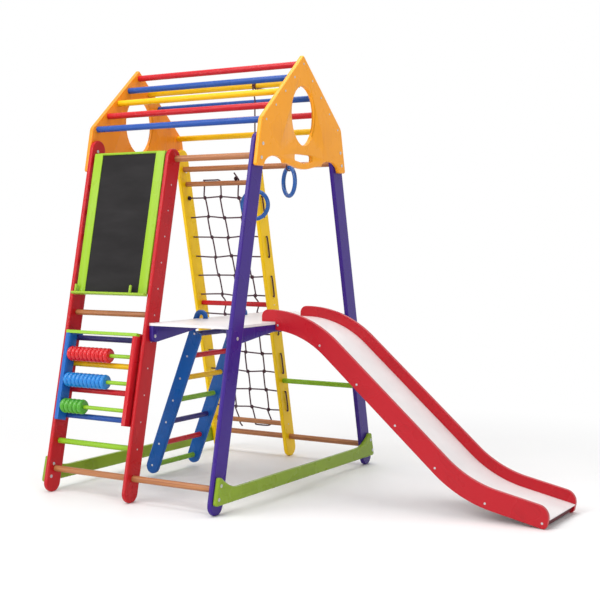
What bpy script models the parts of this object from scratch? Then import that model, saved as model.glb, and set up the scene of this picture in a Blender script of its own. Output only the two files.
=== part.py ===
"""Indoor climbing frame for children: an A-frame under a roof of bars, with rungs, a rope net, a deck,
a slide, a hooked ladder, a chalkboard, a bead abacus and two hanging rings.

Metres, +Z up. X runs along the roof bars and the slide, and Y runs across the two slopes of the A-frame.
The origin is on the floor, under the middle of the whole object.
"""

import math

import bmesh
import bpy
from mathutils import Matrix, Vector

# Clearances
SEAT = 0.0003            # between two pieces that touch
HOLE_GAP = 0.0005        # all round a bar or a rope in its hole
FLOOR_GAP = 0.0005       # under a piece that just clears the floor

# Slopes of the A-frame: the middle line of every rail and leg
FOOT_Y = 0.5735          # distance of the line from the ridge at the floor
SLOPE_RUN = 0.218        # how far the line leans in for each metre up

# Rails and legs
GABLE_INNER = 0.400      # inner face of each gable panel, from the middle
RAIL_WIDTH = 0.076
RAIL_THICK = 0.018
RAIL_EDGE = 0.004        # rounding of the long edges
FOOT_FLAT = 0.001        # depth of the flat that the floor wears on a round end
END_RAIL_TOP = 1.383
MIDDLE_RAIL_TOP = 1.335

# Gable panels
GABLE_THICK = 0.018
GABLE_EDGE = 0.003
GABLE_APEX = 1.700
SHOULDER_Y = 0.297
SHOULDER_Z = 1.434
CORNER_Y = 0.334
CORNER_Z = 1.2555
APEX_ROUND = 0.006
SHOULDER_ROUND = 0.035
CORNER_ROUND = 0.008
FOOT_INNER_Y = 0.280     # where the foot ends and the arch starts
ARCH_Y = 0.207           # top of the arch
ARCH_Z = 1.2975
CUSP_Y = 0.140           # where the arch meets the middle lobe
CUSP_Z = 1.2746
LOBE_Z = 1.2567          # lowest point of the middle lobe
OVAL_TOP_DROP = 0.1194   # of the oval's top under the apex
OVAL_BOTTOM_Z = 1.3474
OVAL_HALF_WIDTH = 0.0896
OVAL_TAPER = 0.05        # share by which the oval narrows downwards and widens upwards
SLOT_HALF_WIDTH = 0.068
SLOT_TOP = 1.314
SLOT_BOTTOM = 1.287
SLOT_SAG = 0.008         # how far the lower edge dips in the middle
SLOT_CORNER = 0.009

# Roof bars
ROOF_BAR_RADIUS = 0.0125
APEX_BAR_DROP = 0.0344   # of the apex bar's axis under the gables' apex
LOWEST_BAR_DROP = 0.0314   # of the lowest bars' axes under the gables' sloping edges
ROOF_BAR_STEP_Y = 0.0667
FRONT_ROOF_COLOURS = ["blue", "yellow", "red", "blue"]    # down from the apex bar
REAR_ROOF_COLOURS = ["yellow", "blue", "red", "yellow"]

# Round rungs and bars
RUNG_RADIUS = 0.011
BAR_RADIUS = 0.0122
FRONT_TOP_BAR_Z = 1.296
FRONT_TOP_BAR_INSET = 0.0107   # behind the middle line of the rails
FRONT_BOTTOM_BAR_Z = 0.0895
FIRST_RUNG_Z = 1.194
RUNG_STEP = 0.0998
RUNG_COLOURS = ["brown"] * 6 + ["navy", "yellow", "red", "blue", "lime"]
FIRST_RUNG_NUMBER = 2          # the top bar is the first step
REAR_TOP_BAR_Z = 1.295
REAR_TOP_BAR_INSET = 0.005
REAR_BOTTOM_BAR_Z = 0.090
NET_TOP_RUNG_Z = 1.230
NET_BOTTOM_RUNG_Z = 0.148
REAR_RED_RUNG_Z = 0.694
REAR_GREEN_BAR_Z = 0.350

# Base boards
BASE_THICK = 0.018
BASE_EDGE = 0.003
BASE_BOTTOM = 0.038
BASE_TOP = 0.0885
BASE_FLARE_TOP = 0.137
BASE_FLARE_START = 0.450
BASE_FLARE_END = 0.560
BASE_END_TOP_Y = 0.573
BASE_END_BOTTOM_Y = 0.597
BASE_TOP_ROUND = 0.005
BASE_BOTTOM_ROUND = 0.010

# Deck
DECK_TOP = 0.667
DECK_SHEET_THICK = 0.010
DECK_HALF_WIDTH = 0.455
DECK_BOARD_THICK = 0.018
DECK_BOARD_END_HEIGHT = 0.062
DECK_BOARD_MIDDLE_HEIGHT = 0.028
DECK_END_LAND = 0.030    # level part of the lower edge at each end of a board
DECK_FLARE_POWER = 5
DECK_BOARD_TOP_ROUND = 0.004
DECK_BOARD_END_ROUND = 0.012
CLAW_SLOT_LENGTH = 0.029
CLAW_SLOT_GAP = 0.0015   # on both sides of a claw's tip in its slot

# Slide
SLIDE_HALF_WIDTH = 0.152
SLIDE_BOARD_THICK = 0.018
SLIDE_BOARD_WIDTH = 0.077
SLIDE_EDGE = 0.004
SLIDE_START_X = 0.320
SLIDE_LEVEL_LENGTH = 0.038
SLIDE_CREST_RADIUS = 0.400
SLIDE_SLOPE = math.radians(41.2)
SLIDE_RUNOUT_RADIUS = 0.450
SLIDE_RUNOUT_SLOPE = math.radians(11.7)
SLIDE_RUNOUT_LENGTH = 0.201
SLIDE_SHEET_DEPTH = 0.041      # top of the sheet under the top edge of the boards
SLIDE_SHEET_THICK = 0.004
SLIDE_SHEET_LIFT = 0.0013      # of the sheet over the deck, so that its curve clears the deck's edge
SLIDE_HEAD_ROUND = 0.024
SLIDE_TIP_ROUND = 0.020
SLIDE_HEEL_ROUND = 0.015
SLIDE_LIP_ROUND = 0.005        # under the head, over the deck
SLIDE_NOTCH_ROUND = 0.004      # at the lower end of the notch over the deck's edge
BATTEN_WIDTH = 0.018
BATTEN_HEIGHT = 0.026
BATTEN_COUNT = 7
BATTEN_HEAD_GAP = 0.004        # between the deck's edge and the first batten

# Hooked ladder
LADDER_FLOOR_X = -0.2446       # where its middle line would meet the floor
LADDER_LEAN = 0.397            # run towards the deck for each metre up
LADDER_HALF_WIDTH = 0.150
LADDER_RAIL_WIDTH = 0.060
LADDER_RAIL_THICK = 0.018
LADDER_EDGE = 0.003
LADDER_FOOT_Z = 0.015
LADDER_RUNG_RADIUS = 0.011
LADDER_RUNG_COUNT = 7
LADDER_RUNG_STEP = 0.0993
CLAW_OPENING = 0.025
CLAW_ARCH_RISE = 0.009         # of the arch's centre over the deck's edge
CLAW_TIP_DEPTH = 0.0195        # of the claw's tip under the top of the deck
CLAW_TIP_INNER_ROUND = 0.003
CLAW_TIP_OUTER_ROUND = 0.004
MOUTH_DEPTH = 0.064            # of the mouth's floor under the arch's centre
MOUTH_WOOD = 0.0085            # over the middle of the top rung
MOUTH_SLANT_RUN = 0.0065       # of the slanted edge at the mouth's outer corner
MOUTH_SLANT_DROP = 0.018
MOUTH_SLANT_ROUND = 0.010
MOUTH_CORNER_ROUND = 0.004
MOUTH_INNER_ROUND = 0.005

# Chalkboard
CHALK_MIDDLE_X = -0.190
CHALK_WIDTH = 0.352
CHALK_STILE_WIDTH = 0.041
CHALK_THICK = 0.010
CHALK_FRONT = 0.038            # its front face, in front of the middle line of the rails
CHALK_PANEL_RECESS = 0.003
CHALK_TOP_STRIP = 0.009
CHALK_HOOK_THICK = 0.009
CHALK_HOOK_ROUND = 0.005
CHALK_TOP_ROUND = 0.003
CHALK_SEAT_ROUND = 0.004
LEDGE_BOTTOM_Z = 0.768
LEDGE_THICK = 0.010
LEDGE_DEPTH = 0.024
LEDGE_WIDTH = 0.382
LEDGE_EDGE = 0.002
CHALK_REST_RUNG = 4            # the rung that its lower end leans on, counted from the first one

# Abacus
ABACUS_WIDTH = 0.353
ABACUS_SIDE_THICK = 0.018
ABACUS_DEPTH = 0.046
ABACUS_BOTTOM_Z = 0.290
ABACUS_TOP_THICK = 0.012
ABACUS_TOP_DEPTH = 0.019
ABACUS_HOOK_THICK = 0.010
ABACUS_HOOK_ROUND = 0.006
ABACUS_FOOT_ROUND = 0.003
ABACUS_RUNG = 6                # the rung that it hangs on, counted from the first one
ROD_RADIUS = 0.0075
ROD_BELOW_RUNG = 0.067         # first rod under the rung that carries the abacus, along the slope
BEAD_GAP = 0.0006              # between a rod and the bore of a bead
BEAD_RADIUS = 0.029
BEAD_ROWS = [("red", 10, 0.021), ("light_blue", 10, 0.021), ("green", 5, 0.0255)]   # colour, count, width
BEAD_GROOVE = 0.006
BEAD_RIM = 0.25          # share of a bead's width over which its rim rounds off at each side

# Rope net
ROPE_RADIUS = 0.003
NET_ROWS = 12
NET_FIRST_ROW_Z = 1.168
NET_ROW_STEP = 0.0870
NET_TOP_SHARES = [0.24, 0.43, 0.67]     # places of the upright ropes, as shares of the width
NET_DECK_SHARES = [0.31, 0.57, 0.84]
NET_BOTTOM_SHARES = [0.30, 0.55, 0.80]
NET_ROPE_OVERHANG = 0.006               # of a lacing stretch outside a rail
NET_END_TAIL = 0.006                    # of the level rope past its last knots
LACING_CORNER = 0.003                   # where a lacing stretch rounds into its hole
LACING_EASE = 0.004
KNOT_RADIUS = 0.0062
KNOT_DRIFT = 0.004                      # of the knots off the true grid
DRIFT_PER_ROW = 1.7
DRIFT_PER_STRAND = 2.1
ROPE_SLACK = 0.001                      # of the upright rope off the rungs that it goes round
ROPE_PASS_GAP = 0.0015                  # where it passes in front of the red rung
ROPE_TURN_SHIFT = 0.004                 # sideways, over the shoulder of a rung and at its top
ROPE_TURN_REACH = 0.012
UPRIGHT_TOP_TAIL = (0.016, 0.004, 0.020)
UPRIGHT_BOTTOM_TAIL = (0.020, 0.004, 0.018)

# Hanging rings
RING_RADIUS = 0.0565
RING_TUBE_RADIUS = 0.0085
RING_BAR = 1                            # the rear roof bar that carries them, counted from the apex
RINGS = [("left", 0.1446, 1.124, 12), ("right", 0.3087, 1.214, -34)]   # name, x, height, turn in degrees
HANGER_PITCH = 0.0085                   # between two turns round the roof bar
HANGER_GAP = 0.001
HANGER_NOOSE = 0.030                    # height of the loop that holds the ring
HANGER_KNOT_TAIL = 0.010                # of the rope's end over its knot
HANGER_KNOT_RISE = 0.014                # over the knot, where the rope comes back to the middle
HANGER_KNOT_EASE = 0.030
HANGER_LEAD = 0.055                     # how far under the bar's axis the rope starts to lean
HANGER_SPACING = 0.015
HANGER_TAIL = [(0.006, -0.006, 0), (0.018, -0.008, -0.001), (0.040, -0.007, -0.004)]

COLOURS = {
    "orange": (0.92, 0.38, 0.03),
    "red": (0.62, 0.02, 0.03),
    "blue": (0.03, 0.12, 0.40),
    "navy": (0.05, 0.05, 0.17),
    "yellow": (0.87, 0.56, 0.02),
    "lime": (0.33, 0.60, 0.04),
    "green": (0.16, 0.45, 0.04),
    "base_green": (0.27, 0.47, 0.04),
    "purple": (0.09, 0.035, 0.32),
    "brown": (0.54, 0.20, 0.07),
    "ladder_blue": (0.01, 0.11, 0.40),
    "light_blue": (0.02, 0.28, 0.70),
    "white": (0.85, 0.84, 0.84),
    "chalk": (0.035, 0.033, 0.034),
    "rope": (0.06, 0.012, 0.025),
}

TILT = math.atan(SLOPE_RUN)
LADDER_TILT = math.atan(LADDER_LEAN)
SMOOTH_ANGLE = math.radians(35)


def clear_scene():
    for old in list(bpy.data.objects):
        bpy.data.objects.remove(old, do_unlink=True)


def paint(colour):
    """The painted or plain finish of this colour, made once."""
    name = colour + "_finish"
    if name not in bpy.data.materials:
        material = bpy.data.materials.new(name)
        material.use_nodes = True
        shader = material.node_tree.nodes["Principled BSDF"]
        shader.inputs["Base Color"].default_value = (*COLOURS[colour], 1)
        shader.inputs["Roughness"].default_value = 0.75 if colour in ("rope", "chalk") else 0.35
        shader.inputs["Metallic"].default_value = 0
        material.diffuse_color = (*COLOURS[colour], 1)
    return bpy.data.materials[name]


def empty(name, location, rotation, parent=None):
    holder = bpy.data.objects.new(name, None)
    holder.location = location
    holder.rotation_euler = rotation
    holder.parent = parent
    bpy.context.scene.collection.objects.link(holder)
    return holder


def finish(name, shape, colour, parent, location=(0, 0, 0)):
    """Turns a bmesh into a named object under its parent."""
    bmesh.ops.recalc_face_normals(shape, faces=shape.faces)
    mesh = bpy.data.meshes.new(name)
    shape.to_mesh(mesh)
    shape.free()
    mesh.shade_smooth()
    mesh.set_sharp_from_angle(angle=SMOOTH_ANGLE)
    mesh.materials.append(paint(colour))
    thing = bpy.data.objects.new(name, mesh)
    thing.location = location
    thing.parent = parent
    bpy.context.scene.collection.objects.link(thing)
    return thing


def round_edges(thing, width, segments=2, axis="X"):
    """Rounds the outlines of both flat sides of a board drawn out along this axis."""
    mesh = thing.data
    weights = mesh.attributes.new("bevel_weight_edge", "FLOAT", "EDGE")
    side = "XYZ".index(axis)
    for edge in mesh.edges:
        start, end = (mesh.vertices[index].co[side] for index in edge.vertices)
        weights.data[edge.index].value = 1 if abs(start - end) < SEAT else 0
    bevel = thing.modifiers.new("Rounded edges", "BEVEL")
    bevel.width = width
    bevel.segments = segments
    bevel.limit_method = "WEIGHT"


def combine(thing, other, operation):
    """Joins the other object to this one, or cuts it out; the other is only a guide."""
    other.hide_render = True
    other.display_type = "WIRE"
    boolean = thing.modifiers.new(other.name, "BOOLEAN")
    boolean.operation = operation
    boolean.solver = "EXACT"
    boolean.object = other


def arc(centre, radius, start, end, steps):
    """Points on an arc from one angle to another, both in degrees."""
    points = []
    for step in range(steps + 1):
        angle = math.radians(start + (end - start) * step / steps)
        points.append((centre[0] + radius * math.cos(angle), centre[1] + radius * math.sin(angle)))
    return points


def rounded(corners, steps=4):
    """An outline from corners (a, b, radius), where each corner with a radius becomes an arc."""
    outline = []
    for index, (a, b, radius) in enumerate(corners):
        here = Vector((a, b))
        if radius == 0:
            outline.append((a, b))
            continue
        back = (Vector(corners[index - 1][:2]) - here).normalized()
        ahead = (Vector(corners[(index + 1) % len(corners)][:2]) - here).normalized()
        half = back.angle(ahead) / 2
        centre = here + (back + ahead).normalized() * (radius / math.sin(half))
        start = here + back * (radius / math.tan(half)) - centre
        turn = math.copysign(math.pi - 2 * half, -back.cross(ahead))
        for step in range(steps + 1):
            point = centre + Matrix.Rotation(turn * step / steps, 2) @ start
            outline.append((point.x, point.y))
    return outline


def sharp(points):
    """The points as corners without rounding."""
    return [(a, b, 0) for a, b in points]


def add_prism(shape, outline, low, high, axis="X"):
    """Adds an outline in YZ drawn out along X, or one in XZ drawn out along Y."""
    if axis == "X":
        corners = [(low, a, b) for a, b in outline]
        draw = (high - low, 0, 0)
    else:
        corners = [(a, low, b) for a, b in outline]
        draw = (0, high - low, 0)
    face = shape.faces.new([shape.verts.new(corner) for corner in corners])
    drawn = bmesh.ops.extrude_face_region(shape, geom=[face])["geom"]
    moved = [item for item in drawn if isinstance(item, bmesh.types.BMVert)]
    bmesh.ops.translate(shape, vec=draw, verts=moved)


def prism(name, outline, low, high, colour, parent, axis="X", location=(0, 0, 0)):
    shape = bmesh.new()
    add_prism(shape, outline, low, high, axis)
    return finish(name, shape, colour, parent, location)


def box_outline(a_low, a_high, b_low, b_high):
    return [(a_low, b_low), (a_high, b_low), (a_high, b_high), (a_low, b_high)]


def add_rod(shape, start, end, radius, sides):
    start = Vector(start)
    end = Vector(end)
    turn = (end - start).to_track_quat("Z", "Y").to_matrix().to_4x4()
    place = Matrix.Translation((start + end) / 2) @ turn
    bmesh.ops.create_cone(
        shape, cap_ends=True, segments=sides, radius1=radius, radius2=radius,
        depth=(end - start).length, matrix=place,
    )


def bar(name, x_low, x_high, y, z, radius, colour, parent, sides=14):
    """A dowel along X whose origin is at its middle."""
    shape = bmesh.new()
    half = (x_high - x_low) / 2
    add_rod(shape, (-half, 0, 0), (half, 0, 0), radius, sides)
    return finish(name, shape, colour, parent, ((x_low + x_high) / 2, y, z))


def drill(thing, name, places, radius, parent, reach, sides=10):
    """Cuts holes along X at places (x, y, z), each reaching as far to both sides."""
    shape = bmesh.new()
    for x, y, z in places:
        add_rod(shape, (x - reach, y, z), (x + reach, y, z), radius, sides)
    combine(thing, finish(name, shape, "white", parent), "DIFFERENCE")


def skin(shape, rings, closed):
    """Joins rings of vertices by quads, and joins the last ring to the first one or closes both ends."""
    made = [[shape.verts.new(point) for point in ring] for ring in rings]
    count = len(made[0])
    pairs = list(zip(made, made[1:]))
    if closed:
        pairs.append((made[-1], made[0]))
    else:
        shape.faces.new(made[0])
        shape.faces.new(made[-1])
    for ring, following in pairs:
        for index in range(count):
            after = (index + 1) % count
            shape.faces.new((ring[index], ring[after], following[after], following[index]))


def add_rope(shape, points, radius, sides):
    """A tube along points, with a mitred ring at each of them."""
    points = [Vector(point) for point in points]
    forward = (points[1] - points[0]).normalized()
    side = forward.orthogonal().normalized()
    rings = []
    for index, point in enumerate(points):
        before = (point - points[max(index - 1, 0)]).normalized()
        after = (points[min(index + 1, len(points) - 1)] - point).normalized()
        along = (before + after).normalized()
        side = (side - along * side.dot(along)).normalized()
        up = along.cross(side)
        bend = (before - after).normalized() if before.angle(after, 0) > 0.01 else side
        stretch = 1 / max(before.dot(along) if before.length and after.length else 1, 0.5)
        ring = []
        for corner in range(sides):
            angle = 2 * math.pi * corner / sides
            reach = side * math.cos(angle) + up * math.sin(angle)
            reach += bend * (reach.dot(bend) * (stretch - 1))
            ring.append(point + reach * radius)
        rings.append(ring)
    skin(shape, rings, closed=False)


def along_slope(height):
    """Distance along a slope's middle line from the floor, for a height above the floor."""
    return height / math.cos(TILT)


def slope_y(height, inset=0):
    """Distance of a slope's middle line from the ridge at a height, less an inset square to the slope."""
    return FOOT_Y - SLOPE_RUN * height - inset / math.cos(TILT)


# Places that several pieces share
END_RAIL_OUTER = GABLE_INNER - SEAT
END_RAIL_INNER = END_RAIL_OUTER - RAIL_THICK
MIDDLE_RAIL_FACE = RAIL_THICK / 2
GABLE_OUTER = GABLE_INNER + GABLE_THICK
DECK_LEFT = MIDDLE_RAIL_FACE + SEAT
DECK_RIGHT = END_RAIL_INNER - SEAT
DECK_BOARD_TOP = DECK_TOP - DECK_SHEET_THICK - SEAT
LEFT_SPAN = (-END_RAIL_INNER + SEAT, -MIDDLE_RAIL_FACE - SEAT)
FULL_SPAN = (-END_RAIL_INNER + SEAT, END_RAIL_INNER - SEAT)
RUNG_HEIGHTS = [FIRST_RUNG_Z - RUNG_STEP * level for level in range(len(RUNG_COLOURS))]
NET_HEIGHTS = [NET_FIRST_ROW_Z - NET_ROW_STEP * row for row in range(NET_ROWS)]


def roof_bar_place(number):
    """Distance from the ridge, and height, of a roof bar counted from the apex along the gables' edge."""
    y = number * ROOF_BAR_STEP_Y
    edge = GABLE_APEX - (GABLE_APEX - SHOULDER_Z) * y / SHOULDER_Y
    drop = APEX_BAR_DROP + (LOWEST_BAR_DROP - APEX_BAR_DROP) * number / len(REAR_ROOF_COLOURS)
    return y, edge - drop


def rail_outline(top, side):
    """A board with full round ends, upright in its slope's frame, with a flat where the floor is."""
    radius = RAIL_WIDTH / 2
    low = (0, along_slope(radius - FOOT_FLAT))
    high = (0, along_slope(top - radius))
    down = -90 - side * math.degrees(TILT)
    flat = math.degrees(math.acos(1 - FOOT_FLAT / radius))
    foot = arc(low, radius, -180, down - flat, 5) + arc(low, radius, down + flat, 0, 5)
    return foot + arc(high, radius, 0, 180, 10)


def gable_outline():
    """The house shape with its shoulders, feet, arches and middle lobe, taken round from the apex."""
    half = []
    for degrees in range(0, 91, 15):
        angle = math.radians(degrees)
        half.append((ARCH_Y + (FOOT_INNER_Y - ARCH_Y) * math.cos(angle),
                     CORNER_Z + (ARCH_Z - CORNER_Z) * math.sin(angle), 0))
    for degrees in range(15, 76, 15):
        angle = math.radians(degrees)
        half.append((ARCH_Y - (ARCH_Y - CUSP_Y) * math.sin(angle),
                     CUSP_Z + (ARCH_Z - CUSP_Z) * math.cos(angle), 0))
    for step in range(6):
        y = CUSP_Y * (1 - step / 6)
        half.append((y, LOBE_Z + (CUSP_Z - LOBE_Z) * (1 - math.cos(math.pi * y / CUSP_Y)) / 2, 0))
    right = [(SHOULDER_Y, SHOULDER_Z, SHOULDER_ROUND), (CORNER_Y, CORNER_Z, CORNER_ROUND)] + half
    left = [(-y, z, radius) for y, z, radius in reversed(right)]
    return rounded([(0, GABLE_APEX, APEX_ROUND)] + right + [(0, LOBE_Z, 0)] + left)


def oval_outline():
    top = GABLE_APEX - OVAL_TOP_DROP
    middle = (top + OVAL_BOTTOM_Z) / 2
    points = []
    for step in range(28):
        angle = 2 * math.pi * step / 28
        width = OVAL_HALF_WIDTH * (1 + OVAL_TAPER * math.sin(angle))
        points.append((width * math.cos(angle), middle + (top - middle) * math.sin(angle)))
    return points


def finger_slot_outline():
    top = rounded([(SLOT_HALF_WIDTH, SLOT_BOTTOM, SLOT_CORNER), (SLOT_HALF_WIDTH, SLOT_TOP, SLOT_CORNER),
                   (-SLOT_HALF_WIDTH, SLOT_TOP, SLOT_CORNER), (-SLOT_HALF_WIDTH, SLOT_BOTTOM, SLOT_CORNER)])
    reach = SLOT_HALF_WIDTH - SLOT_CORNER
    dip = [(reach * step / 3, SLOT_BOTTOM - SLOT_SAG * (1 + math.cos(math.pi * step / 3)) / 2)
           for step in range(-2, 3)]
    return top + dip


def make_gables(frame):
    for name, low in (("gable_left", -GABLE_OUTER), ("gable_right", GABLE_INNER)):
        gable = prism(name, gable_outline(), low, low + GABLE_THICK, "orange", frame)
        round_edges(gable, GABLE_EDGE, 1)
        shape = bmesh.new()
        add_prism(shape, oval_outline(), low - SEAT, low + GABLE_THICK + SEAT)
        add_prism(shape, finger_slot_outline(), low - SEAT, low + GABLE_THICK + SEAT)
        combine(gable, finish(name + "_cutter", shape, "white", frame), "DIFFERENCE")


def make_roof_bars(frame):
    span = (-GABLE_INNER + SEAT, GABLE_INNER - SEAT)
    y, height = roof_bar_place(0)
    bar("roof_bar_apex", *span, y, height, ROOF_BAR_RADIUS, "red", frame)
    for slope, side, colours in (("front", -1, FRONT_ROOF_COLOURS), ("rear", 1, REAR_ROOF_COLOURS)):
        for number, colour in enumerate(colours, 1):
            y, height = roof_bar_place(number)
            name = "roof_bar_" + slope + "_" + str(number)
            bar(name, *span, side * y, height, ROOF_BAR_RADIUS, colour, frame)


def make_rails(slopes):
    end = (END_RAIL_INNER, END_RAIL_OUTER)
    middle = (-MIDDLE_RAIL_FACE, MIDDLE_RAIL_FACE)
    rails = [
        ("rail_front_left", "front", (-end[1], -end[0]), END_RAIL_TOP, "red"),
        ("rail_front_middle", "front", middle, MIDDLE_RAIL_TOP, "red"),
        ("leg_front_right", "front", end, END_RAIL_TOP, "purple"),
        ("rail_rear_left", "rear", (-end[1], -end[0]), END_RAIL_TOP, "yellow"),
        ("rail_rear_middle", "rear", middle, MIDDLE_RAIL_TOP, "yellow"),
        ("leg_rear_right", "rear", end, END_RAIL_TOP, "purple"),
    ]
    for name, slope, (low, high), top, colour in rails:
        side = -1 if slope == "front" else 1
        rail = prism(name, rail_outline(top, side), low, high, colour, slopes[slope])
        round_edges(rail, RAIL_EDGE)
        middle_x = (low + high) / 2
        if "middle" in name:
            front_bars = [(FRONT_TOP_BAR_Z, FRONT_TOP_BAR_INSET), (FRONT_BOTTOM_BAR_Z, 0)]
            rear_bars = [(REAR_TOP_BAR_Z, REAR_TOP_BAR_INSET), (REAR_BOTTOM_BAR_Z, 0)]
            bars = front_bars if slope == "front" else rear_bars
            places = [(middle_x, -side * inset, slope_place(height, inset)) for height, inset in bars]
            drill(rail, name + "_bar_holes", places, BAR_RADIUS + HOLE_GAP, slopes[slope], RAIL_THICK, 14)
        if slope == "rear" and colour == "yellow":
            places = [(middle_x, 0, along_slope(height)) for height in NET_HEIGHTS]
            drill(rail, name + "_rope_holes", places, ROPE_RADIUS + HOLE_GAP, slopes[slope], RAIL_THICK, 8)


def slope_place(height, inset):
    """Distance along the slope of a piece set behind the middle line, for its height over the floor."""
    return (height + inset * math.sin(TILT)) / math.cos(TILT)


def slope_bar(name, slope, span, height, inset, radius, colour, slopes):
    side = -1 if slope == "front" else 1
    return bar(name, *span, -side * inset, slope_place(height, inset), radius, colour, slopes[slope])


def make_bars_and_rungs(slopes):
    right_span = (MIDDLE_RAIL_FACE + SEAT, END_RAIL_INNER - SEAT)
    slope_bar("front_top_bar", "front", FULL_SPAN, FRONT_TOP_BAR_Z, FRONT_TOP_BAR_INSET, BAR_RADIUS, "brown",
              slopes)
    slope_bar("front_bottom_bar", "front", FULL_SPAN, FRONT_BOTTOM_BAR_Z, 0, BAR_RADIUS, "brown", slopes)
    for level, colour in enumerate(RUNG_COLOURS):
        name = "front_rung_" + str(level + FIRST_RUNG_NUMBER).zfill(2)
        slope_bar(name, "front", LEFT_SPAN, RUNG_HEIGHTS[level], 0, RUNG_RADIUS, colour, slopes)
    slope_bar("rear_top_bar", "rear", FULL_SPAN, REAR_TOP_BAR_Z, REAR_TOP_BAR_INSET, BAR_RADIUS, "brown",
              slopes)
    slope_bar("rear_bottom_bar", "rear", FULL_SPAN, REAR_BOTTOM_BAR_Z, 0, BAR_RADIUS, "brown", slopes)
    slope_bar("net_top_rung", "rear", LEFT_SPAN, NET_TOP_RUNG_Z, 0, RUNG_RADIUS, "brown", slopes)
    slope_bar("net_bottom_rung", "rear", LEFT_SPAN, NET_BOTTOM_RUNG_Z, 0, RUNG_RADIUS, "brown", slopes)
    slope_bar("rear_red_rung", "rear", LEFT_SPAN, REAR_RED_RUNG_Z, 0, RUNG_RADIUS, "red", slopes)
    slope_bar("rear_green_bar", "rear", right_span, REAR_GREEN_BAR_Z, 0, RUNG_RADIUS, "lime", slopes)


def make_base_boards(frame):
    flare = []
    for step in range(7):
        share = step / 6
        y = BASE_FLARE_START + (BASE_FLARE_END - BASE_FLARE_START) * share
        flare.append((y, BASE_TOP + (BASE_FLARE_TOP - BASE_TOP) * share ** 2, 0))
    right = [(BASE_END_BOTTOM_Y, BASE_BOTTOM, BASE_BOTTOM_ROUND),
             (BASE_END_TOP_Y, BASE_FLARE_TOP, BASE_TOP_ROUND)] + flare[::-1]
    outline = rounded(right + [(-y, z, radius) for y, z, radius in reversed(right)])
    for name, low in (("base_board_left", -GABLE_INNER - BASE_THICK), ("base_board_right", GABLE_INNER)):
        board = prism(name, outline, low, low + BASE_THICK, "base_green", frame)
        round_edges(board, BASE_EDGE, 1)


def make_deck(frame):
    flare_y = DECK_HALF_WIDTH - DECK_END_LAND
    lower = []
    for step in range(-9, 10):
        share = step / 9
        drop = (DECK_BOARD_END_HEIGHT - DECK_BOARD_MIDDLE_HEIGHT) * abs(share) ** DECK_FLARE_POWER
        lower.append((flare_y * share, DECK_BOARD_TOP - DECK_BOARD_MIDDLE_HEIGHT - drop, 0))
    low = DECK_BOARD_TOP - DECK_BOARD_END_HEIGHT
    right_end = [(DECK_HALF_WIDTH, low, DECK_BOARD_END_ROUND),
                 (DECK_HALF_WIDTH, DECK_BOARD_TOP, DECK_BOARD_TOP_ROUND)]
    left_end = [(-y, z, radius) for y, z, radius in reversed(right_end)]
    outline = rounded(right_end + left_end + lower, 3)
    left = prism("deck_board_left", outline, DECK_LEFT, DECK_LEFT + DECK_BOARD_THICK, "purple", frame)
    prism("deck_board_right", outline, DECK_RIGHT - DECK_BOARD_THICK, DECK_RIGHT, "purple", frame)
    behind_board = [height for height in NET_HEIGHTS if low - ROPE_RADIUS < height < DECK_BOARD_TOP]
    places = [(DECK_LEFT, slope_y(height), height) for height in behind_board]
    drill(left, "deck_board_rope_hole", places, ROPE_RADIUS + HOLE_GAP, frame, 2 * DECK_BOARD_THICK, 8)

    sheet_outline = box_outline(DECK_LEFT, DECK_RIGHT, DECK_TOP - DECK_SHEET_THICK, DECK_TOP)
    sheet = prism("deck_sheet", sheet_outline, -DECK_HALF_WIDTH, DECK_HALF_WIDTH, "white", frame, axis="Y")
    slots = bmesh.new()
    slot_low = DECK_LEFT + DECK_BOARD_THICK
    slot_high = slot_low + CLAW_SLOT_LENGTH
    slot = box_outline(slot_low, slot_high, DECK_TOP - 2 * DECK_SHEET_THICK, DECK_TOP + SEAT)
    outer = LADDER_HALF_WIDTH + CLAW_SLOT_GAP
    inner = LADDER_HALF_WIDTH - LADDER_RAIL_THICK - CLAW_SLOT_GAP
    add_prism(slots, slot, -outer, -inner, axis="Y")
    add_prism(slots, slot, inner, outer, axis="Y")
    combine(sheet, finish("claw_slots", slots, "white", frame), "DIFFERENCE")


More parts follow.
